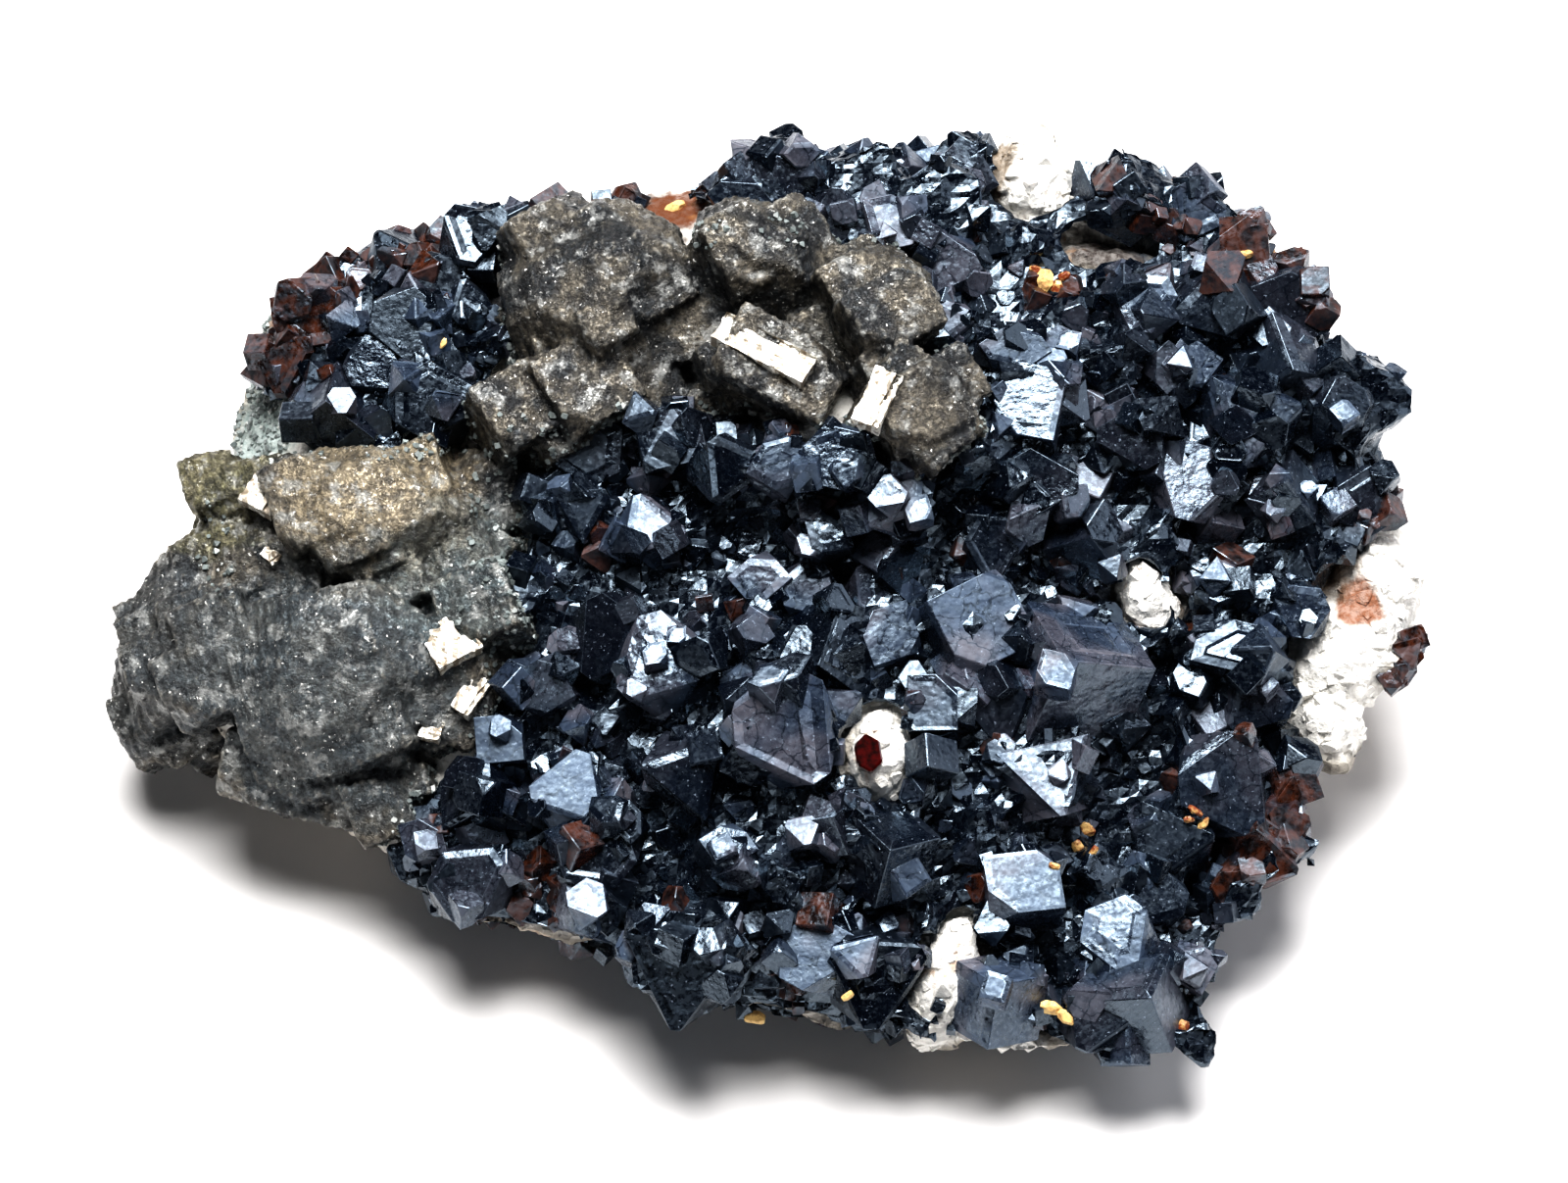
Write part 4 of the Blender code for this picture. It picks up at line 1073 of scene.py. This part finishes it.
class SPECIMEN_OT_small_crystals(Operator):
    """Grows medium and small blende crystals between the large ones, and the shining ones"""
    bl_idname = "specimen.small_crystals"
    bl_label = "Grow small crystals"

    def execute(self, context):
        RNG.seed(SEEDS["small crystals"])
        sizes = settings()
        least, most = sizes.crystal_least, sizes.crystal_most
        black = bpy.data.materials["lustrous_blende"]
        middling = prototypes(MIDDLING_PLATES, MIDDLING_WEAR, 4)
        tiny = prototypes(0, SMALL_WEAR, 4)
        for name in SHARES:
            copies = scatter(name, middling, sizes.middling_count, most * 0.75, most * 1.3, MIDDLING_DEPTH)
            copies += scatter(name, tiny, sizes.rim_count, most * 0.5, most, MIDDLING_DEPTH, turned_away=True)
            settle(join(name + "_middling", copies), black)
            copies = scatter(name, tiny, sizes.crystal_count, least, most * 0.8, sizes.valley_depth)
            settle(join(name + "_small", copies), black)
        habits = [habit for habit in ("table", "octa", "block") for _ in range(2)]
        tablets = [cut_crystal(habit, SHINING_PLATES, SHINING_WEAR) for habit in habits]
        settle(self.shining(tablets), black)
        remove(middling + tiny + tablets)
        return {"FINISHED"}

    def shining(self, tablets):
        """Crystals with one face turned so that the eye sees the light in it."""
        crust = tree_of(*[bpy.data.objects[name + "_large"] for name in SHARES])
        mirror = mirror_direction()
        copies = []
        for x, y, breadth, tone in SHINING:
            turn = random_turn((mirror + random_vector(0.05)).normalized())
            point = seen_on(crust, (x, y)) + TOWARDS * RAISED * breadth * MM
            copies.append(copy_to(RNG.choice(tablets), placed(point, turn, breadth * MM), tone))
        return join("shining_crystals", copies)


def broad_faces():
    """Places on the broad light crystals, which stay free of small ones."""
    places = []
    for x, y, breadth, *_, tone in MAIN_CRYSTALS:
        if breadth > BROAD and tone > LIGHT:
            reach = breadth * KEPT_CLEAR * PIXELS_PER_MM
            places.append((x, y, reach, reach))
    return places


def scatter(name, shapes, count, least, most, depth, turned_away=False):
    """Copies of some crystals over a crust, where it stands no more than a depth over the rock.

    Turned away, they grow only on the back and the ends, where no large crystal is listed.
    """
    rock = tree_of(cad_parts["matrix_rock"])
    wanted = int(count * SHARES[name])
    bare = WINDOWS + broad_faces()
    samples = []
    for layer in ("_massive", "_large"):
        samples += surface_samples(bpy.data.objects[name + layer], wanted * TRIES)
    RNG.shuffle(samples)
    copies = []
    for point, normal in samples:
        place, facing = in_picture(point), normal.dot(TOWARDS)
        if turned_away and facing > FACES_EYE or facing > 0 and lies_in(place, bare):
            continue
        if not LEAST_CRUST < rock.find_nearest(point)[3] < depth:
            continue
        if point.z <= LEAST_HEIGHT or normal.z <= OVERHANG:
            continue
        breadth = least + (most - least) * RNG.random() ** 2
        turn = random_turn((normal * 0.5 + TOWARDS * 0.5 + random_vector(1) * STRAY).normalized())
        where = placed(point - normal * breadth * SUNK, turn, breadth)
        copies.append(copy_to(RNG.choice(shapes), where, tone_at(place)))
        if len(copies) == wanted:
            break
    return copies


class SPECIMEN_OT_galena(Operator):
    """Makes the worn, pitted surface of the galena crystals"""
    bl_idname = "specimen.galena"
    bl_label = "Finish galena"

    def execute(self, context):
        RNG.seed(SEEDS["galena"])
        dull = galena_material()
        for name in ("galena_upper", "galena_lower"):
            fine = fine_copy(name + "_fine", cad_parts[name], settings().galena_grain)
            right, up, spin, count = GALENA_BLOCKS[name]
            set_blocks(fine, leaning(right, up, spin), count, GALENA_LEDGES[name])
            guide = plates(fine, PLATE_TURN, PLATE_SPACING, PLATE_DEPTH)
            for row in GALENA_RELIEF:
                relief(fine, *row)
            soften(fine, 1)
            apply_all(fine)
            remove([guide])
            keep_inside(fine)
            bpy.ops.object.shade_smooth()
            mark_ridges(fine)
            settle(fine, dull)
            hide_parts(name)
        return {"FINISHED"}


class SPECIMEN_OT_frost(Operator):
    """Grows fine pale crystals where galena meets blende"""
    bl_idname = "specimen.frost"
    bl_label = "Add frost"

    # Surfaces it grows on, the places tried on each, and the share taken where it is grainy
    grown_on = (("galena_lower_fine", 9000, 0.3), ("galena_upper_fine", 9000, 0.3), ("rock_fine", 62000, 1.0))

    def execute(self, context):
        RNG.seed(SEEDS["frost"])
        blende = tree_of(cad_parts["sphalerite_main"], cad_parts["sphalerite_left"])
        shapes = prototypes(0, SMALL_WEAR, 2)
        copies = []
        for name, tries, share in self.grown_on:
            for point, normal in surface_samples(bpy.data.objects[name], tries):
                near = blende.find_nearest(point)[3] if name != "rock_fine" else 1
                grainy = lies_in(in_picture(point), GRAINY) and RNG.random() < share
                if normal.dot(TOWARDS) < -0.2 or not (near < RNG.random() * MM or grainy):
                    continue
                breadth = RNG.uniform(0.18, 0.5) * MM
                place = placed(point, random_turn(normal), breadth)
                copies.append(copy_to(RNG.choice(shapes), place, RNG.random()))
        settle(join("pale_frost", copies), frost_material())
        remove(shapes)
        return {"FINISHED"}


class SPECIMEN_OT_cleavage(Operator):
    """Sets bright split faces into the galena"""
    bl_idname = "specimen.cleavage"
    bl_label = "Add cleaved faces"

    def execute(self, context):
        metal = tree_of(bpy.data.objects["galena_upper_fine"], bpy.data.objects["galena_lower_fine"])
        bars = []
        for x1, y1, x2, y2, breadth, height in CLEAVED_BARS:
            points = [seen_on(metal, (x1 + (x2 - x1) * t, y1 + (y2 - y1) * t)) for t in (0.2, 0.5, 0.8)]
            lift = max((point - points[1]).dot(TOWARDS) for point in points)
            middle = points[1] + TOWARDS * lift * 0.5
            along = (RIGHT * (x2 - x1) - UP * (y2 - y1)) / PIXELS_PER_MM * MM
            bars.append(cleaved_bar(middle, along, breadth * MM, height * MM))
        piece = join("cleaved_faces", bars)
        keep_inside(piece)
        settle(piece, cleavage_material())
        return {"FINISHED"}


def cleaved_bar(middle, along, breadth, height):
    """A split block along a surface: a flat top with a step cut along it."""
    deselect()
    bpy.ops.mesh.primitive_cube_add(size=1)
    bar = bpy.context.object
    bpy.ops.object.mode_set(mode="EDIT")
    bpy.ops.mesh.select_all(action="SELECT")
    bpy.ops.mesh.subdivide(number_cuts=3)
    bpy.ops.mesh.select_all(action="DESELECT")
    bpy.ops.object.mode_set(mode="OBJECT")
    for face in bar.data.polygons:
        face.select = face.normal.z > 0.9 and face.center.y > 0.2
    bpy.ops.object.mode_set(mode="EDIT")
    bpy.ops.mesh.extrude_region_move(TRANSFORM_OT_translate={"value": (0, 0, -0.25)})
    bpy.ops.object.mode_set(mode="OBJECT")
    cracked = bar.modifiers.new("split", "SUBSURF")
    cracked.subdivision_type = "SIMPLE"
    cracked.levels = cracked.render_levels = 2
    end = mirror_direction()
    across = end.cross(along).normalized()
    along_flat = across.cross(end).normalized()
    turn = Matrix((along_flat, across, end)).transposed().to_4x4()
    size = Matrix.Diagonal((along.length, breadth, height, 1))
    bar.data.transform(Matrix.Translation(middle - end * height * 0.25) @ turn @ size)
    relief(bar, *CLEAVED_RELIEF)
    apply_all(bar)
    return bar


class SPECIMEN_OT_rock(Operator):
    """Makes the granular surface of the matrix rock"""
    bl_idname = "specimen.rock"
    bl_label = "Finish rock"

    def execute(self, context):
        fine = fine_copy("rock_fine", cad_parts["matrix_rock"], settings().rock_grain)
        apply_all(fine)
        wear_ledge(fine)
        mark_sides(fine)
        for row in ROCK_RELIEF:
            relief(fine, *row)
        apply_all(fine)
        keep_inside(fine)
        mark_ridges(fine)
        settle(fine, rock_material())
        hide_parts("matrix_rock")
        return {"FINISHED"}


def wear_ledge(obj):
    """Lowers the brown ledge at the back, most in its middle."""
    x, y, half_width, half_height = WORN_LEDGE
    for vert in obj.data.vertices:
        place = in_picture(vert.co)
        away = math.hypot((place[0] - x) / half_width, (place[1] - y) / half_height)
        if away < 1:
            vert.co.z = max(vert.co.z - LEDGE_WEAR * (1 - away ** 2), 0.0)


def mark_sides(obj):
    """Weighs the points by how steep the surface is, and notes it and the windows for the material."""
    group = obj.vertex_groups.new(name="sides")
    side, clean = [], []
    for vert in obj.data.vertices:
        in_window = vert.normal.dot(TOWARDS) > 0 and lies_in(in_picture(vert.co), WINDOWS)
        steep = min(1.0, max(0.0, (STEEP_FROM - vert.normal.z) / STEEP_SPAN))
        if vert.co.z < FOOT_HEIGHT or in_window:
            steep = 0.0
        group.add([vert.index], steep, "REPLACE")
        side.append(steep)
        clean.append(float(in_window))
    note_points(obj.data, "side", side)
    note_points(obj.data, "clean", clean)


class SPECIMEN_OT_grains(Operator):
    """Adds iron-stained grains and the red crystal in the white rock"""
    bl_idname = "specimen.grains"
    bl_label = "Add grains"

    def execute(self, context):
        RNG.seed(SEEDS["grains"])
        surface = tree_of(*[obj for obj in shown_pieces() if obj.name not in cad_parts])
        shapes = [cut_crystal("lump", 1, SMALL_WEAR) for _ in range(4)]
        grains = []
        for x, y, breadth in OCHRE_GRAINS:
            point = seen_on(surface, (x, y))
            size = (breadth * 0.65 * MM, breadth * RNG.uniform(0.3, 0.5) * MM, breadth * 0.3 * MM, 1)
            place = Matrix.Translation(point) @ random_turn(TOWARDS) @ Matrix.Diagonal(size)
            grains.append(copy_to(RNG.choice(shapes), place, RNG.random()))
        settle(join("ochre_grains", grains), ochre_material())
        remove(shapes)
        settle(self.sugar(), bpy.data.materials["granular_rock"])
        settle(self.red_crystal(surface), ruby_material())
        return {"FINISHED"}

    def sugar(self):
        """Small white grains that roughen the open rock."""
        shapes = prototypes(0, WHITE_WEAR, 2)
        copies = []
        for point, normal in surface_samples(bpy.data.objects["rock_fine"], 9000):
            if not lies_in(in_picture(point), WINDOWS) or normal.dot(TOWARDS) < 0:
                continue
            breadth = RNG.uniform(0.4, 1.3) * MM
            place = placed(point - normal * breadth * 0.2, random_turn(normal), breadth)
            copies.append(copy_to(RNG.choice(shapes), place))
        remove(shapes)
        grains = join("white_grains", copies)
        note(grains.data, "ridge", 0.5)
        note(grains.data, "clean", 1.0)
        return grains

    def red_crystal(self, surface):
        """A short six-sided prism with cut edges."""
        deselect()
        bpy.ops.mesh.primitive_cylinder_add(vertices=6, radius=0.5, depth=0.9)
        prism = bpy.context.object
        prism.name = "red_crystal"
        bevel = prism.modifiers.new("cut edges", "BEVEL")
        bevel.width = 0.05
        bevel.segments = 1
        apply_all(prism)
        point = seen_on(surface, RUBY_PLACE)
        turn = turned_to((TOWARDS + UP * RUBY_LEAN).normalized(), RUBY_SPIN).to_4x4()
        place = Matrix.Translation(point + TOWARDS * 0.1 * MM)
        prism.data.transform(place @ turn @ Matrix.Diagonal((*RUBY_SIZE, 1)))
        return prism


class SPECIMEN_OT_stage(Operator):
    """Adds the floor, the lights and the camera"""
    bl_idname = "specimen.stage"
    bl_label = "Add stage"

    def execute(self, context):
        deselect()
        bpy.ops.mesh.primitive_plane_add(size=FLOOR_SIZE)
        floor = bpy.context.object
        floor.name = "floor"
        floor.data.materials.append(floor_material())
        floor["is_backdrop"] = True
        add_camera()
        add_world()
        for light in LIGHTS:
            add_area_light(*light)
        bpy.context.scene.view_settings.view_transform = "Standard"
        bpy.context.scene.view_settings.look = "High Contrast"
        return {"FINISHED"}


def add_camera():
    data = bpy.data.cameras.new("eye")
    camera = bpy.data.objects.new("eye", data)
    turn = Matrix((RIGHT, UP, TOWARDS)).transposed().to_4x4()
    camera.matrix_world = Matrix.Translation(EYE) @ turn
    data.sensor_width = SENSOR_WIDTH
    data.lens = SENSOR_WIDTH * VIEW_DISTANCE / (PICTURE_SIZE[0] / PIXELS_PER_MM * MM)
    data.clip_start = 0.01
    data.clip_end = 10
    bpy.context.scene.collection.objects.link(camera)
    bpy.context.scene.camera = camera


def add_world():
    world = bpy.data.worlds.new("studio")
    world.use_nodes = True
    background = world.node_tree.nodes["Background"]
    background.inputs["Color"].default_value = AMBIENT_COLOUR
    background.inputs["Strength"].default_value = AMBIENT_STRENGTH
    bpy.context.scene.world = world


def add_area_light(name, place, size, power, colour):
    data = bpy.data.lights.new(name, "AREA")
    data.size = size
    data.energy = power
    data.color = colour
    light = bpy.data.objects.new(name, data)
    light.location = place
    light.rotation_euler = (VIEW_TARGET - place).to_track_quat("-Z", "Y").to_euler()
    bpy.context.scene.collection.objects.link(light)


class SPECIMEN_PT_panel(Panel):
    """Lists the specimen's steps in the sidebar"""
    bl_idname = "SPECIMEN_PT_panel"
    bl_label = "Sphalerite Specimen"
    bl_space_type = "VIEW_3D"
    bl_region_type = "UI"
    bl_category = "Specimen"

    def draw(self, context):
        for name in SpecimenSettings.__annotations__:
            self.layout.prop(context.scene.specimen, name)
        for operator in STEPS:
            self.layout.operator(operator.bl_idname)


STEPS = (
    SPECIMEN_OT_blende, SPECIMEN_OT_small_crystals, SPECIMEN_OT_galena, SPECIMEN_OT_rock,
    SPECIMEN_OT_frost, SPECIMEN_OT_cleavage, SPECIMEN_OT_grains, SPECIMEN_OT_stage,
)


def register():
    for made in (SpecimenSettings, *STEPS, SPECIMEN_PT_panel):
        bpy.utils.register_class(made)
    bpy.types.Scene.specimen = PointerProperty(type=SpecimenSettings)


def unregister():
    del bpy.types.Scene.specimen
    for made in reversed((SpecimenSettings, *STEPS, SPECIMEN_PT_panel)):
        bpy.utils.unregister_class(made)


def main():
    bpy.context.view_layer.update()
    register()
    for build_group in (zone_group, facet_group, growth_group, cracks_group):
        build_group()
    bpy.ops.specimen.blende()
    bpy.ops.specimen.small_crystals()
    bpy.ops.specimen.galena()
    bpy.ops.specimen.rock()
    bpy.ops.specimen.frost()
    bpy.ops.specimen.cleavage()
    bpy.ops.specimen.grains()
    bpy.ops.specimen.stage()


if __name__ == "__main__":
    main()
